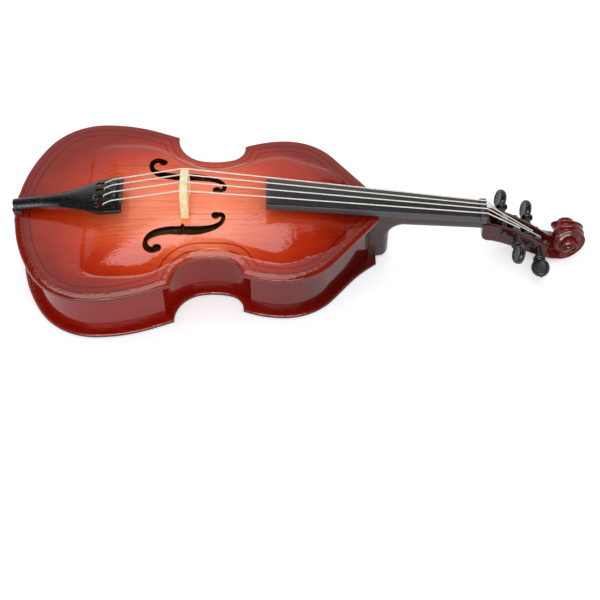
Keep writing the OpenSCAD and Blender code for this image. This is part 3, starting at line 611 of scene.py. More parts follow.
holes = [hole, hole[::-1] * (1, -1)]

# Sunburst lacquer: amber spirit stain in the middle, red then brown sprayed on towards the rim,
# a clear gloss over it. Ripples along the grain break up the edges of what it reflects.
belly_paint, tree, shader, place = surface("sunburst_nitrocellulose_lacquer")
grain = stretched(tree, place, (0.03, 1.1, 0.5), 5.0, Roughness=0.6)
cloud = add(tree, "TexNoise", {0: place, "Scale": 0.09, "Detail": 2.0})
BURST_AT, BURST_ASIDE, BURST_LONG, BURST_WIDE = 59, -2, 56, 38
burst = add(tree, "VectorMath", {
    0: add(tree, "Mapping", {
        0: place, 1: (-(BURST_AT + TAIL) / BURST_LONG, -BURST_ASIDE / BURST_WIDE, 0),
        3: (1 / BURST_LONG, 1 / BURST_WIDE, 0)})}, operation="LENGTH")
spread = add(tree, "Math", {0: cloud, 1: 0.16}, operation="MULTIPLY")
spread = add(tree, "Math", {0: spread, 1: -0.08}, operation="ADD")
reach = add(tree, "Math", {0: burst.outputs["Value"], 1: spread}, operation="ADD")
sunburst = add(tree, "ValToRGB", {0: reach}, stops=(
    (0.20, "#ff8d65"), (0.39, "#f27a54"), (0.55, "#d9522c"), (0.73, "#bd3417"),
    (0.92, "#9b210b"), (1.12, "#84190a")))
rim = add(tree, "Attribute", attribute_name="rim_gap").outputs["Fac"]
grained = tinted(sunburst, "#96300f", grain, 0.5, 0.72, 0.0, 0.5)
shaded = tinted(grained, "#761c0a", rim, 0.0, 4.0, 0.55, 0.0, interpolation_type="SMOOTHSTEP")
inked = 0.0
for line_at in (2.9, 5.2):
    off = add(tree, "Math", {0: rim, 1: line_at}, operation="SUBTRACT")
    off = add(tree, "Math", {0: off}, operation="ABSOLUTE")
    line = add(tree, "MapRange", {0: off, 1: 0.14, 2: 0.34, 3: 0.62, 4: 0.0})
    inked = add(tree, "Math", {0: inked, 1: line}, operation="MAXIMUM")
lined = add(tree, "MixRGB", {0: inked, 1: shaded, 2: "#30100a"})
edged = tinted(lined, "#3a0f08", rim, 0.05, 0.3, 0.4, 0.0)
routed = add(tree, "Attribute", attribute_name="cut_wood").outputs["Fac"]
painted = add(tree, "MixRGB", {0: routed, 1: edged, 2: "#2c1509"})
ripple = stretched(tree, place, (0.5, 0.9, 0.9), 3.5)
finished(shader, painted, 0.05, ripple, 1.0, 0.00006)


def belly_top(p):
    """The dome, a shallow channel round its foot, and a rim that droops towards its edge."""
    gap, dome = distance(p, [plate_edge]), rise(p)
    channel = 0.03 * np.clip(gap - OVERHANG, 0, 7) * (1 - dome / dome_rise) ** 2
    return BELLY_RIM + dome - channel - 0.2 * np.clip(1 - gap / OVERHANG, 0, 1) ** 2


solid = sheet([outline] + holes, belly_top, lambda p: RIB_TOP + rise(p), [0.55, 0.12, 0.12], 0.9)
plan = solid[0][:, :2]
cut = (belly_top(plan) - solid[0][:, 2] > 0.05) & (distance(plan, holes) < 0.2)
piece("belly", [solid], [belly_paint],
      fields={"rim_gap": distance(plan, [plate_edge]), "cut_wood": cut.astype(float)})

# ------------------------------------------------------------------ Neck, heel, pegbox and scroll
# One piece of maple. The heel is glued to the end of the body, the grip is round underneath, and
# the head is hollowed for the strings and ends in a scroll of three and a quarter turns.

NUT_AT = 161.5
HEAD_START = 163.0
JOINT_AT, HEEL_FACE, HEEL_FOOT, HEEL_ARC = 123.25, 130.3, 1.1, 4.6
SCROLL = np.array([193.7, 7.8])
SCROLL_RADIUS, EYE_RADIUS, TURNS = 7.5, 0.9, 3.25


def bezier(a, b, c, d, steps):
    t = np.linspace(0, 1, steps + 1)[:, None]
    a, b, c, d = (np.array(p, float) for p in (a, b, c, d))
    return ((1 - t) ** 3 * a + 3 * (1 - t) ** 2 * t * b + 3 * (1 - t) * t ** 2 * c + t ** 3 * d)


def board_under(x):
    """Height of the fingerboard's flat underside, which falls towards the nut."""
    return 18.9 + (NUT_AT - x) * 0.13


def lofted(rings):
    """A solid through rings of equal length, with flat ends."""
    size = len(rings[0])
    faces = []
    for r in range(len(rings) - 1):
        for k in range(size):
            a, b = r * size + k, r * size + (k + 1) % size
            faces.append([a, b, b + size, a + size])
    faces += [list(range(size))[::-1], [len(rings) * size - size + k for k in range(size)]]
    return np.concatenate(rings), faces


def half_neck(x):
    return 4.5 - (max(x, 126) - 122.6) / 43.9 * 0.55


# The heel and the grip: a U-shaped section that follows the line of their underside
under = [(HEEL_FACE - 0.9, HEEL_FOOT), (HEEL_FACE - 0.25, HEEL_FOOT + 0.25)]
under += [(HEEL_FACE, z) for z in np.linspace(HEEL_FOOT + 0.9, 10.2, 8)]
on_face = len(under)
turn = np.linspace(0, pi / 2, 11)
under += list(zip(HEEL_FACE + HEEL_ARC * (1 - np.cos(turn)), 11.2 + HEEL_ARC * np.sin(turn)))
on_arc = len(under)
for x in np.linspace(HEEL_FACE + HEEL_ARC, HEAD_START, 14)[1:]:
    under.append((x, 20.2 - (x - 134) * 0.088 - half_neck(x)))
glued = np.array([(JOINT_AT, 10.2), (JOINT_AT, 20.4), (126.02, 20.45), (126.02, board_under(126)),
                  (HEEL_FACE + HEEL_ARC, board_under(HEEL_FACE + HEEL_ARC))])
rings = []
for i, (x, z) in enumerate(under):
    heel = np.clip((HEEL_FACE + HEEL_ARC - x) / HEEL_ARC, 0, 1)
    half = half_neck(x)
    if i < on_face:
        arm = np.array([JOINT_AT, z])
    elif i < on_arc:
        share = (i + 1 - on_face) / (on_arc - on_face) * 4
        arm = np.array([np.interp(share, range(5), glued[:, k]) for k in (0, 1)])
    else:
        arm = np.array([x, board_under(x)])
    inward = arm - (x, z)
    depth = half * (1 - 0.3 * heel) / np.linalg.norm(inward)
    ring = [(arm[0], half, arm[1])]
    for t in np.linspace(0, pi, 25):
        at = np.array([x, z]) + inward * depth * (1 - sin(t) ** (1 - 0.25 * heel))
        ring.append((at[0], half * cos(t), at[1]))
    ring.append((arm[0], -half, arm[1]))
    rings.append(np.array(ring))
neck_solid = lofted(rings) + (0,)

# The pegbox: two cheeks over a floor, in sections along its length. It flares low down, and is
# narrower along the top of the cheeks.
cheek_top = bezier((HEAD_START + 1, 18.1), (172.6, 16.2), (180.5, 10.8), (188.6, 3.6), 60)
head_under = bezier((SCROLL[0], 0.3), (182.5, 0.2), (172.8, 8), (165.8, 9.3), 60)[::-1]
chin = arc((165.6, 12.2), 2.9, 195, 262, 10)
floor_curve = bezier((188.6, 3.2), (183.5, 0.4), (174, 8), (167.5, 10.6), 60)[::-1]
floor_line = np.concatenate([[[165.4, 30], [165.4, 12.4]], floor_curve])
SCROLL_END = SCROLL[0] + 2.6
chin_line = np.concatenate([[[162.55, 13.2]], chin, head_under,
                            [[SCROLL[0] + 0.8, 0.75], [SCROLL_END, 1.7]]])
top_line = np.concatenate([[[162.6, 18.4]], cheek_top, [[191.4, 3.5], [SCROLL_END, 3.6]]])
flare_low = through([[162, 4.9], [174, 4.9], [180, 5.4], [186, 6.05], [190, 6.1],
                     [SCROLL[0], 5.3], [SCROLL_END, 3.4]], 12)
narrow_top = through([[162, 4.5], [176, 3.8], [188, 3.3], [SCROLL[0], 3.1], [SCROLL_END, 2.4]], 12)
stations = np.concatenate([[162.62, 162.75, 163.0, 163.4, 164.0, 164.7],
                           np.linspace(165.35, 165.45, 2), np.linspace(166.2, 188.4, 46),
                           [188.55, 188.65], np.linspace(189.2, SCROLL_END, 13)])
rings = []
for x in stations:
    half = along(narrow_top, x)
    wide = along(flare_low, x)
    top = along(top_line, x)
    low = along(chin_line, x)
    gap = np.interp(x, [165, 189], [3.0, 2.1])
    floor = min(along(floor_line, x), top) if 165.4 <= x <= 188.6 else top
    r = min(0.35, (top - low) / 4)
    bend = min(1.6, (top - low) * 0.45, 0.3 + max(0, SCROLL[0] - x) * 0.35)
    right = [(0, floor), (gap - 0.5, floor), (gap - 0.12, floor + min(0.12, top - floor)),
             (gap, floor + min(0.5, (top - floor) * 0.5)),
             (gap, max(floor, top - r * 0.8)), (gap + 0.12, max(floor, top - 0.1)),
             (gap + 0.3, top), (half - r, top), (half - r * 0.3, top - r * 0.3),
             (half, top - r), (wide, low + bend)]
    right += [(wide - bend * (1 - cos(t)), low + bend * (1 - sin(t)))
              for t in np.linspace(0.15, pi / 2, 8)]
    right.append((0, low))
    ring = [(x, y, z) for y, z in right] + [(x, -y, z) for y, z in right[-2:0:-1]]
    rings.append(np.array(ring))
pegbox_solid = lofted(rings) + (1,)


def scroll_solid(steps=72):
    """The volute: a band with two flutes round its back, and on each side a hollowed ledge that
    winds in to the eye while the wood gets wider."""
    last = int(TURNS * steps)
    widths = through([[0, 5.3], [0.12, 4], [0.25, 3.2], [0.5, 2.8], [0.75, 5], [1, 5.5],
                      [1.5, 6.1], [2.25, 6.7], [TURNS, 7.1]], 8)
    points, faces = [], []

    def radius(i):
        return EYE_RADIUS + (SCROLL_RADIUS - EYE_RADIUS) * max(0, 1 - i / last) ** 1.9

    def half(i):
        return float(along(widths, i / steps))

    def cut(i):
        return 0.3 * np.clip((last - i) * 2 / steps, 0, 1)

    def at(i, r, y):
        turn = radians(-90 + 360 * i / steps)
        return (SCROLL[0] + r * cos(turn), y, SCROLL[1] + r * sin(turn) * (
            0.82 if sin(turn) > 0 else 1))

    def strip(rows):
        base, wide = len(points), len(rows[0])
        points.extend(p for row in rows for p in row)
        for a in range(len(rows) - 1):
            for b in range(wide - 1):
                k = base + a * wide + b
                faces.append([k, k + 1, k + 1 + wide, k + wide])

    band = []
    for i in range(steps + 1):
        r, h = radius(i), half(i)
        row = [at(i, r - 0.3, -h)]
        for v in np.linspace(-1, 1, 33):
            flute = 0.62 * sin(pi * min(1, abs(v) / 0.92)) ** 0.8 * min(1, i / 6)
            row.append(at(i, r - flute, v * (h - 0.3)))
        band.append(row + [at(i, r - 0.3, h)])
    strip(band)
    walls = []
    for side in (1, -1):
        rows = []
        for i in range(last + 1):
            r, h = radius(i), half(i)
            inner, tall = radius(i + steps), half(i + steps)
            row = [at(i, r - cut(i), side * h)]
            for v in np.linspace(0.05, 1, 12):
                deep = 0.8 + 1.4 * max(0, 1 - i / 14) ** 2
                gouge = deep * sin(pi * v ** 0.9) * min(1, (r - inner) / 2)
                row.append(at(i, (r - cut(i)) * (1 - v) + inner * v, side * (h - gouge)))
            break_at = tall - min(0.3, (tall - h) / 2)
            row += [at(i, inner, side * (h + break_at) / 2), at(i, inner, side * break_at)]
            rows.append(row + [at(i, inner - cut(i + steps), side * tall)])
        strip(rows)
        walls.append(rows[0])
        rim = [at(last + k, EYE_RADIUS, side * half(last)) for k in range(steps)]
        top = [at(last + k, EYE_RADIUS - 0.2, side * (half(last) + 0.14)) for k in range(steps)]
        base = len(points)
        points.extend(rim + top + [at(0, 0, side * (half(last) + 0.3))])
        for k in range(steps):
            a, b = base + k, base + (k + 1) % steps
            faces.extend([[a, b, b + steps, a + steps], [a + steps, b + steps, base + 2 * steps]])
    # The band's first edge is closed inside the throat
    loop = band[0] + walls[0][1:] + band[-1][::-1][1:] + walls[1][::-1][1:-1]
    faces.append([len(points) + k for k in range(len(loop))])
    points.extend(loop)
    return np.array(points), faces, 1


# Stained grip: brown-black spirit stain rubbed into maple and sealed, so it is satin and the long
# grain shows as faint lighter streaks.
grip_stain, tree, shader, place = surface("brown_stained_maple")
grain = stretched(tree, place, (0.06, 1.4, 1.4), 4.0)
tone = add(tree, "ValToRGB", {0: grain}, stops=((0.3, "#30201e"), (0.75, "#423030")))
finished(shader, tone, 0.32, grain, 0.3, 0.00005)

# The head is lacquered wine red over the carving: glossy, with painted shade darkening the
# hollows, and sprayed brown over the pegbox
head_paint, tree, shader, place = surface("lacquered_carved_maple")
cloud = add(tree, "TexNoise", {0: place, "Scale": 0.35, "Detail": 3.0})
wine = add(tree, "ValToRGB", {0: cloud}, stops=((0.3, "#5e110c"), (0.7, "#7a160e")))
at = add(tree, "SeparateXYZ", {0: place})
wine = tinted(wine, "#2b1210", at, TAIL + 182, TAIL + 191, 0.8, 0.1)
# Painted shade: ambient occlusion darkens the paint in the hollows of the carving
hollow_shade = add(tree, "AmbientOcclusion", {"Distance": 0.0025}, samples=6)
wine = tinted(wine, "#2a0806", hollow_shade.outputs["AO"], 0.35, 0.9, 0.6, 0.0)
tool = add(tree, "TexNoise", {0: place, "Scale": 0.9, "Detail": 2.0})
finished(shader, wine, 0.12, tool, 0.5, 0.00008)

piece("neck_and_scroll", [neck_solid, pegbox_solid, scroll_solid()],
      [grip_stain, head_paint], angle=30, node="neck")

# ------------------------------------------------------------------ Fingerboard and nut
# A dyed hardwood board, flat underneath and crowned on top, is glued to the neck and runs free
# over the belly. The nut is a small block with four grooves that lifts the strings at its end.

BOARD_START, BOARD_EDGE, BOARD_CROWN = 87.2, 3.0, 20.5

# Dyed hardwood: black stain rubbed smooth, satin, with fine open pores along the grain. Faces
# turned to either side are painted lighter grey, a painted reflection of the white table.
black_wood, tree, shader, place = surface("black_dyed_hardwood")
pores = stretched(tree, place, (0.12, 2.6, 2.6), 4.0)
tone = add(tree, "ValToRGB", {0: pores}, stops=((0.3, "#252528"), (0.75, "#37373b")))
# Painted reflection: faces turned towards either side are mixed towards grey
facing = add(tree, "SeparateXYZ", {0: add(tree, "TexCoord").outputs["Normal"]})
side_sheen = add(tree, "Math", {0: facing.outputs[1]}, operation="ABSOLUTE")
tone = tinted(tone, "#4b4b50", side_sheen, 0.6, 0.95, 0.0, 0.6)
finished(shader, tone, 0.3, pores, 0.3, 0.00004)


def arched(top, radius, y):
    """Height of an arch at y, whose crown is at top."""
    return top - radius + np.sqrt(radius ** 2 - y ** 2)


def board_top(p):
    """The crown sits a little higher towards the nut, where the board is narrower."""
    crown = np.sqrt(BOARD_CROWN ** 2 - p[:, 1] ** 2) - sqrt(BOARD_CROWN ** 2 - 16)
    return board_under(p[:, 0]) + BOARD_EDGE + crown


corners = np.array([[BOARD_START, -6.0], [NUT_AT, -4.0], [NUT_AT, 4.0], [BOARD_START, 6.0]])
board = sheet([evened(corners, 1.0)], board_top, lambda p: board_under(p[:, 0]) + 0.01, 0.25, 1.6)
piece("fingerboard", [board], [black_wood], angle=40)

NUT_TOP, NUT_ROUND, NUT_LENGTH, NUT_SPACING = 23.1, 16.0, 2.3, 1.9
STRING_RADIUS = 0.22


def string_y(number, spacing):
    return (2.5 - number) * spacing


def upright(solid, x):
    """Stands a flat solid up across the instrument: its plan becomes width and height."""
    return solid[0][:, [2, 0, 1]] + (x, 0, 0), solid[1]


# The nut's outline from the side of the strings, with a round groove for each of them
half = 4.2
profile = [(-half, board_under(NUT_AT) - 0.2), (half, board_under(NUT_AT) - 0.2)]
for y in np.linspace(half, -half, 85):
    height = arched(NUT_TOP, NUT_ROUND, y)
    for number in (1, 2, 3, 4):
        off = y - string_y(number, NUT_SPACING)
        if abs(off) < 0.27:
            groove = arched(NUT_TOP, NUT_ROUND, string_y(number, NUT_SPACING)) + 0.05
            height = min(height, groove - sqrt(0.27 ** 2 - off ** 2))
    profile.append((y, height))
nut = upright(sheet([np.array(profile)], level_at(NUT_LENGTH), level_at(0.02), 0.06, 1.5, 2),
              NUT_AT)
piece("nut", [nut], [black_wood], angle=40)

# ------------------------------------------------------------------ Saddle, end button, tailgut
# The string load pulls the tailpiece by a nylon loop, the tailgut. It bends over the saddle, a
# small block let into the belly's edge, and hooks round the turned end button.

SADDLE_SEAT, SADDLE_LIP, SADDLE_LENGTH, SADDLE_ROUND = 21.3, 0.3, 2.6, 0.8
side_view = np.concatenate([
    [(-SADDLE_LIP, SADDLE_SEAT + 0.02), (SADDLE_LENGTH, SADDLE_SEAT + 0.02),
     (SADDLE_LENGTH, 22.5), (SADDLE_LENGTH - 0.2, SADDLE_SEAT + 2.2)],
    arc((SADDLE_ROUND - SADDLE_LIP, SADDLE_SEAT + 2.2 - SADDLE_ROUND), SADDLE_ROUND, 90, 180,
        8)])
flat = sheet([side_view], level_at(2.6), level_at(-2.6), 0.12, 1.0, 2)
piece("saddle", [(flat[0][:, [0, 2, 1]], flat[1])], [black_wood], angle=40)


def lathed(profile, count=48):
    """A solid of revolution about Z from (radius, height) points that start and end on it."""
    rings = [[(r * cos(t), r * sin(t), z) for t in np.linspace(0, 2 * pi, count + 1)[:-1]]
             for r, z in profile]
    faces = []
    for a in range(len(rings) - 1):
        for k in range(count):
            b, c = a * count + k, a * count + (k + 1) % count
            faces.append([b, c, c + count, b + count])
    return np.array(rings).reshape(-1, 3), faces


# Moulded black plastic: near-black acetal with a satin skin, a soft flow mottle and fine scuffs
black_plastic, tree, shader, place = surface("moulded_black_acetal")
mottle = add(tree, "TexNoise", {0: place, "Scale": 0.5, "Detail": 3.0})
tone = add(tree, "ValToRGB", {0: mottle}, stops=((0.3, "#121214"), (0.7, "#1b1b1e")))
skin = add(tree, "TexNoise", {0: place, "Scale": 1.5, "Detail": 2.0})
scuff = add(tree, "MapRange", {0: mottle, 1: 0.3, 2: 0.7, 3: 0.2, 4: 0.3})
finished(shader, tone, scuff, skin, 0.15, 0.00003)

BUTTON_HEIGHT, BUTTON_HEAD, BUTTON_NECK = 8.75, 2.1, 1.35
head = arc((BUTTON_HEAD - 0.5, -1.1), 0.5, -90, 0, 6)
profile = np.concatenate([
    [(0, -1.6), (0.8, -1.6)], head, [(BUTTON_HEAD, 0.2), (BUTTON_NECK + 0.2, 0.33),
    (BUTTON_NECK, 0.5), (BUTTON_NECK, 1.5), (BUTTON_NECK + 0.15, 1.7),
    (BUTTON_HEAD - 0.25, 1.95), (BUTTON_HEAD - 0.2, 2.1), (BUTTON_HEAD - 0.2, OVERHANG - 0.02),
    (1.2, OVERHANG - 0.02), (1.2, 8.5), (0, 8.5)]])
turned_solid = lathed(profile)
button = (turned_solid[0][:, [2, 1, 0]] * (1, -1, 1) + (0, 0, BUTTON_HEIGHT), turned_solid[1])
piece("end_button", [button], [black_plastic])

# Black nylon cord, extruded: smooth, slightly shiny, with faint rings where it bends
nylon, tree, shader, place = surface("extruded_black_nylon")
rings_seen = add(tree, "TexNoise", {0: place, "Scale": 3.0, "Detail": 2.0})
tone = add(tree, "ValToRGB", {0: rings_seen}, stops=((0.3, "#101012"), (0.7, "#1d1d20")))
finished(shader, tone, 0.35, rings_seen, 0.2, 0.00003)


def new_group(name, *sockets):
    """A Geometry Nodes group with its inputs, each a label and a kind, and their sockets."""
    group = bpy.data.node_groups.new(name, "GeometryNodeTree")
    for label, kind in sockets:
        group.interface.new_socket(label, in_out="INPUT", socket_type="NodeSocket" + kind)
    group.interface.new_socket("Wire", in_out="OUTPUT", socket_type="NodeSocketGeometry")
    return group, add(group, "NodeGroupInput").outputs


def rounded(group, curve, radius, sides, material):
    """Ends a group with a round wire of the material along its curve."""
    ring = add(group, "GeometryNodeCurvePrimitiveCircle", {"Resolution": sides, "Radius": radius})
    wire = add(group, "GeometryNodeCurveToMesh", {
        "Curve": curve, "Profile Curve": ring, "Fill Caps": True})
    wire = add(group, "GeometryNodeRealizeInstances", {0: wire})
    wire = add(group, "GeometryNodeSetMaterial", {0: wire, "Material": material})
    add(group, "NodeGroupOutput", {0: wire})


def cord_group(name, material):
    """Geometry Nodes that turn a line of edges into a round cord with its bends rounded."""
    group, given = new_group(name, ("Line", "Geometry"), ("Cord radius", "Float"),
                             ("Bend radius", "Float"))
    curve = add(group, "GeometryNodeMeshToCurve", {0: given["Line"]})
    curve = add(group, "GeometryNodeFilletCurve", {
        "Curve": curve, "Radius": given["Bend radius"], "Count": 5, "Limit Radius": True},
        mode="POLY")
    rounded(group, curve, given["Cord radius"], 16, material)
    return group


def grown(name, group, values, line=((0, 0, 0),), body="body"):
    """A piece from a node group over a line of points, from the tail in millimetres."""
    mesh = bpy.data.meshes.new(name)
    row = [tuple((np.array(p) + (TAIL, 0, 0)) * MM) for p in line]
    mesh.from_pydata(row, [(i, i + 1) for i in range(len(row) - 1)], [])
    raw = linked(name + "_line", mesh)
    maker = raw.modifiers.new("maker", "NODES")
    maker.node_group = group
    for item in group.interface.items_tree:
        if item.in_out == "INPUT" and item.name in values:
            maker[item.identifier] = values[item.name]
    view = bpy.context.evaluated_depsgraph_get()
    shape = bpy.data.meshes.new_from_object(raw.evaluated_get(view))
    bpy.data.objects.remove(raw)
    shape.name = name
    mounted(name, shape, 50, body, name)


def piece_under(x):
    """Height of the tailpiece's underside, which climbs towards the bridge."""
    return 24.1 + (x + 0.5) * 0.136


GUT_RADIUS = 0.35
over = SADDLE_ROUND + GUT_RADIUS + 0.02
bend_at = (SADDLE_ROUND - SADDLE_LIP, SADDLE_SEAT + 2.2 - SADDLE_ROUND)
loop_radius = BUTTON_NECK + GUT_RADIUS + 0.03
side_path = [(4, 1.2, piece_under(4) - GUT_RADIUS - 0.02), (2, 1.2, bend_at[1] + over)]
side_path += [(bend_at[0] + over * cos(radians(a)), 1.2, bend_at[1] + over * sin(radians(a)))
              for a in range(90, 181, 15)]
side_path.append((1, loop_radius, BUTTON_HEIGHT + 2))
hook = [(1, loop_radius * cos(radians(a)), BUTTON_HEIGHT + loop_radius * sin(radians(a)))
        for a in range(0, -181, -10)]
path = side_path + hook + [(x, -y, z) for x, y, z in side_path[::-1]]
grown("tailgut", cord_group("nylon_loop", nylon),
      {"Cord radius": GUT_RADIUS * MM, "Bend radius": 0.4 * MM}, path)

# ------------------------------------------------------------------ Tailpiece
# One black plastic moulding, narrow at the tailgut and flared at the strings. It has a keyhole
# slot for each string's knot and a raised ridge that the strings bend over.

PIECE_TAIL, PIECE_HEAD, PIECE_SPACING = -0.5, 38.0, 3.15
RIDGE_AT, RIDGE_TOP, RIDGE_WIDTH, RIDGE_ROUND = 35.4, 32.5, 1.4, 14.0
SLOT_AT = 29.4

flare = np.concatenate([[(PIECE_TAIL, 0), (PIECE_TAIL, 0.6)],
                        arc((PIECE_TAIL + 1.8, 0.6), 1.8, 180, 90, 8)[1:],
                        bezier((9, 2.5), (20, 2.9), (27, 6.9), (31, 7.4), 20),
                        [(PIECE_HEAD - 0.4, 7.6), (PIECE_HEAD, 7.2), (PIECE_HEAD, 0)]])
whole = np.concatenate([flare[1:-1] * (1, -1), flare[-2:0:-1]])
loops = [evened(whole, 0.45)]
for number in (1, 2, 3, 4):
    y = string_y(number, PIECE_SPACING)
    keyhole = np.concatenate([
        arc((SLOT_AT, y), 0.85, 24.3, 335.7, 22),
        [(SLOT_AT + 2, y - 0.35), (SLOT_AT + 3.0, y - 0.35), (SLOT_AT + 3.2, y - 0.15),
         (SLOT_AT + 3.2, y + 0.15), (SLOT_AT + 3.0, y + 0.35), (SLOT_AT + 2, y + 0.35)]])
    loops.append(keyhole[::-1])


def piece_top(p):
    """A crown that falls away towards the flanks, most of all over the slender tail end."""
    bend = np.interp(p[:, 0], [18, 31], [10.4, 24])
    half = along(flare[8:-3], p[:, 0])
    fall = np.interp(p[:, 0], [0, 20, 32], [1.35, 1.2, 0.2])
    crown = np.sqrt(bend ** 2 - p[:, 1] ** 2) - bend - fall * np.abs(p[:, 1] / half) ** 2.3
    return np.maximum(26.1 + (p[:, 0] + 0.5) * 0.136 + crown, piece_under(p[:, 0]) + 0.45)


def piece_bottom(p):
    """A flat underside whose flanks turn down at the wide end."""
    skirt = 0.9 * np.clip((np.abs(p[:, 1]) - 5.8) / 1.3, 0, 1) * np.clip((p[:, 0] - 20) / 9, 0, 1)
    return piece_under(p[:, 0]) - skirt


tail_plate = sheet(loops, piece_top, piece_bottom, 0.22, 0.9, 3)
ridge_line = [(y, arched(RIDGE_TOP, RIDGE_ROUND, y)) for y in np.linspace(6.8, -6.8, 41)]
ridge_foot = piece_under(RIDGE_AT) + 0.6
ridge_view = np.array([(-6.8, ridge_foot), (6.8, ridge_foot)] + ridge_line)
ridge = upright(sheet([ridge_view], level_at(RIDGE_WIDTH), level_at(0), 0.2, 1.2, 3),
                RIDGE_AT - RIDGE_WIDTH / 2)
piece("tailpiece", [tail_plate, ridge], [black_plastic], angle=38)

# ------------------------------------------------------------------ Bridge
# A plain slip of unvarnished maple stands on two feet between the sound holes, held only by the
# strings, which cross its curved top.

BRIDGE_AT, BRIDGE_THICK, BRIDGE_TOP, BRIDGE_ROUND = 59.4, 2.6, 37.6, 17.0
BRIDGE_SPACING = 3.3

# Bare maple: pale cream, matt, with fine level grain and short darker flecks
bare_maple, tree, shader, place = surface("bare_maple")
grain = stretched(tree, place, (1.2, 0.25, 2.4), 4.0)
tone = add(tree, "ValToRGB", {0: grain},
           stops=((0.3, "#ecd598"), (0.5, "#faebb8"), (0.75, "#fef4cd")))
finished(shader, tone, 0.6, grain, 0.4, 0.00008)


def belly_at(y):
    return BELLY_RIM + float(rise(np.array([[BRIDGE_AT, y]]))[0])


seat = belly_at(0)
front = [(y, belly_at(y) - 0.15) for y in np.linspace(-7.2, -3.4, 8)]
front += [(3.4 * cos(t), seat + 3.4 * sin(t)) for t in np.linspace(pi - 0.05, 0.05, 25)]
front += [(y, belly_at(y) - 0.15) for y in np.linspace(3.4, 7.2, 8)]
front += [(7.2, seat + 1.5), (6.5, seat + 8)]
front += [(y, arched(BRIDGE_TOP, BRIDGE_ROUND, y)) for y in np.linspace(5.7, -5.7, 31)]
front += [(-6.5, seat + 8), (-7.2, seat + 1.5)]
bridge = upright(sheet([np.array(front)], level_at(BRIDGE_THICK), level_at(0), 0.15, 1.2, 2),
                 BRIDGE_AT - BRIDGE_THICK / 2)
piece("bridge", [bridge], [bare_maple], angle=40)

# ------------------------------------------------------------------ Pegs
# Four turned pegs cross the pegbox, two from each side. Each has a straight shaft with a hole for
# its string, a collar that stops it at the cheek, and a dished oval for the finger and thumb.

PEGS = (  # place along the body, height, side of the disc, turn, winding's place, standing out
    (170.6, 13.5, 1, 22, 1.5, -0.7), (180.5, 7.6, 1, 18, 0.5, -0.7),
    (183.6, 5.2, -1, 94, 0.4, 0.7), (175.2, 11.6, -1, -24, 1.5, -0.4))
PEG_RADIUS, COLLAR_AT, HEAD_AT, HEAD_RADIUS, SHAFT_END = 1.25, 8.4, 12.3, 3.2, 4.9

soft_end = arc((PEG_RADIUS - 0.3, -SHAFT_END + 0.3), 0.3, -90, 0, 4)
shaft = lathed(np.concatenate([
    [(0, -SHAFT_END)], soft_end, [(PEG_RADIUS, COLLAR_AT - 0.8), (1.3, COLLAR_AT - 0.75)],
    arc((1.55, COLLAR_AT), 0.7, -75, 75, 10), [(1.4, COLLAR_AT + 0.75), (1.2, COLLAR_AT + 1.0),
    (1.15, HEAD_AT - 2.9), (1.0, HEAD_AT - 2.5), (0, HEAD_AT - 2.5)]]))
side_a = [(0, -0.85), (1.0, -0.86), (1.8, -0.93), (2.25, -1.1), (2.6, -1.14), (2.9, -0.98)]
side_b = [(r, -z) for r, z in side_a[::-1]]
disc_line = side_a + [(HEAD_RADIUS, -0.45), (HEAD_RADIUS, 0.45)] + side_b
disc = lathed(through(disc_line, 3))
disc = (disc[0][:, [2, 1, 0]] * (1, 1, -1.15) + (0, 0, HEAD_AT), disc[1])
tip_at = HEAD_AT + 1.15 * HEAD_RADIUS
tip = lathed([(0, tip_at - 0.6), (1.0, tip_at - 0.5), (0.85, tip_at - 0.05),
              (0.5, tip_at + 0.35), (0.2, tip_at + 0.55), (0, tip_at + 0.58)], 24)


def on_axis(solid, x, z, side, turn):
    """Lays a solid from its own axis on to a peg's axis across the pegbox."""
    p = solid[0]
    c, s = cos(radians(turn)), sin(radians(turn))
    p = np.stack([p[:, 0] * c - p[:, 1] * s, p[:, 0] * s + p[:, 1] * c, p[:, 2]], 1)
    p = np.stack([p[:, 0], side * p[:, 2], -side * p[:, 1]], 1)
    return p + (x, 0, z), solid[1]


for number, (x, z, side, turn, wound_at, out) in enumerate(PEGS, 1):
    parts = [(s[0] + np.outer(s[0][:, 2] > 7, (0, 0, out)), s[1]) for s in (shaft, disc, tip)]
    piece(f"peg_{number}", [on_axis(s, x, z, side, turn) for s in parts],
          [black_plastic], f"tuning_peg_{number}", 35)

# ------------------------------------------------------------------ Strings and windings
# Four steel strings run from their knots under the tailpiece, over the ridge, the bridge and the
# nut, down into the pegbox, where each is wound three times round its peg.

# Drawn steel wire: bright, slightly rough from the die, close to white where it faces the light
steel, tree, shader, place = surface("drawn_steel_wire")
drawn = stretched(tree, place, (0.2, 6, 6), 3.0)
tone = add(tree, "ValToRGB", {0: drawn}, stops=((0.3, "#d2cdc4"), (0.7, "#ebe6dd")))
finished(shader, tone, 0.35, Metallic=0.2)

# The wound part is painted a darker, mottled grey: painted shade for the dark inside of the pegbox
shaded_winding_steel, tree, shader, place = surface("winding_wire_painted_shade")
shade_mottle = add(tree, "TexNoise", {0: place, "Scale": 2.5, "Detail": 3.0})
tone = add(tree, "ValToRGB", {0: shade_mottle}, stops=((0.35, "#4a4543"), (0.65, "#8f8a87")))
finished(shader, tone, 0.5, Metallic=0.3)

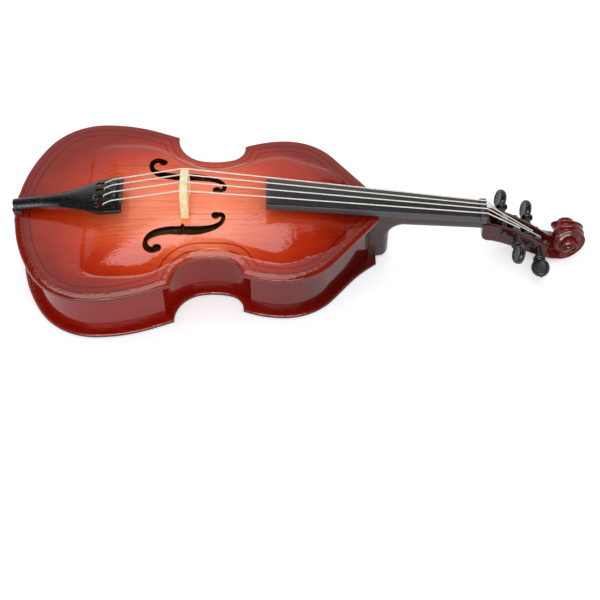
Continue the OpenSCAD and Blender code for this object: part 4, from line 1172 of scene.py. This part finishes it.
wire = cord_group("string_wire", steel)
for number, (peg_x, peg_z, side, _, wound_at, _) in enumerate(PEGS, 1):
    low, mid, top = (string_y(number, s) for s in (PIECE_SPACING, BRIDGE_SPACING, NUT_SPACING))
    over_ridge = arched(RIDGE_TOP, RIDGE_ROUND, low) + STRING_RADIUS + 0.02
    over_bridge = arched(BRIDGE_TOP, BRIDGE_ROUND, mid) + STRING_RADIUS + 0.02
    over_nut = arched(NUT_TOP, NUT_ROUND, top) + 0.05
    leaves = np.array([NUT_AT + NUT_LENGTH, over_nut])
    reach = np.array([peg_x, peg_z]) - leaves
    wound = PEG_RADIUS + 3 * STRING_RADIUS + 0.05
    far = np.linalg.norm(reach)
    lean = atan2(reach[1], reach[0]) + np.arcsin(wound / far)
    meets = leaves + sqrt(far ** 2 - wound ** 2) * np.array([cos(lean), sin(lean)])
    path = [(SLOT_AT + 2, low, piece_under(SLOT_AT + 2) - 0.1),
            (SLOT_AT + 2.4, low, over_ridge - 1.7),
            (RIDGE_AT - RIDGE_WIDTH / 2, low, over_ridge),
            (BRIDGE_AT - BRIDGE_THICK / 2, mid, over_bridge),
            (BRIDGE_AT + BRIDGE_THICK / 2, mid, over_bridge),
            (NUT_AT + NUT_LENGTH / 2, top, over_nut + 0.1),
            (leaves[0], top, over_nut), (meets[0], side * wound_at, meets[1])]
    grown(f"string_{number}", wire,
          {"Cord radius": STRING_RADIUS * MM, "Bend radius": 0.8 * MM}, path)

coil, given = new_group("string_winding", ("Start", "Geometry"), ("Wire radius", "Float"),
                        ("Coil radius", "Float"), ("Turns", "Float"), ("Length", "Float"),
                        ("Axis start", "Vector"), ("Axis turn", "Vector"))
spiral = add(coil, "GeometryNodeCurveSpiral", {
    "Resolution": 40, "Rotations": given["Turns"], "Start Radius": given["Coil radius"],
    "End Radius": given["Coil radius"], "Height": given["Length"]})
spiral = add(coil, "GeometryNodeTransform", {
    0: spiral, "Translation": given["Axis start"], "Rotation": given["Axis turn"]})
rounded(coil, spiral, given["Wire radius"], 12, shaded_winding_steel)
COIL_TURNS = 3.0
coil_length = 2 * STRING_RADIUS * COIL_TURNS
for number, (x, z, side, _, wound_at, _) in enumerate(PEGS, 1):
    axis_start = np.array([x + TAIL, side * (wound_at - coil_length / 2), z]) * MM
    grown(f"string_winding_{number}", coil, {
        "Wire radius": STRING_RADIUS * MM, "Coil radius": (PEG_RADIUS + STRING_RADIUS) * MM,
        "Turns": COIL_TURNS, "Length": coil_length * MM, "Axis start": axis_start.tolist(),
        "Axis turn": (-side * pi / 2, 0.0, 0.0)},
        body=f"tuning_peg_{number}")

KNOT_RADIUS = 0.65
knots = []
for number in (1, 2, 3, 4):
    corners, sides = lathed([(KNOT_RADIUS * sin(a), -KNOT_RADIUS * cos(a))
                             for a in np.linspace(0, pi / 2, 9)] + [(0, 0)], 24)
    hangs_at = (SLOT_AT + 2, string_y(number, PIECE_SPACING), piece_under(SLOT_AT + 2) - 0.1)
    knots.append((corners + hangs_at, sides))
piece("string_knots", knots, [steel])
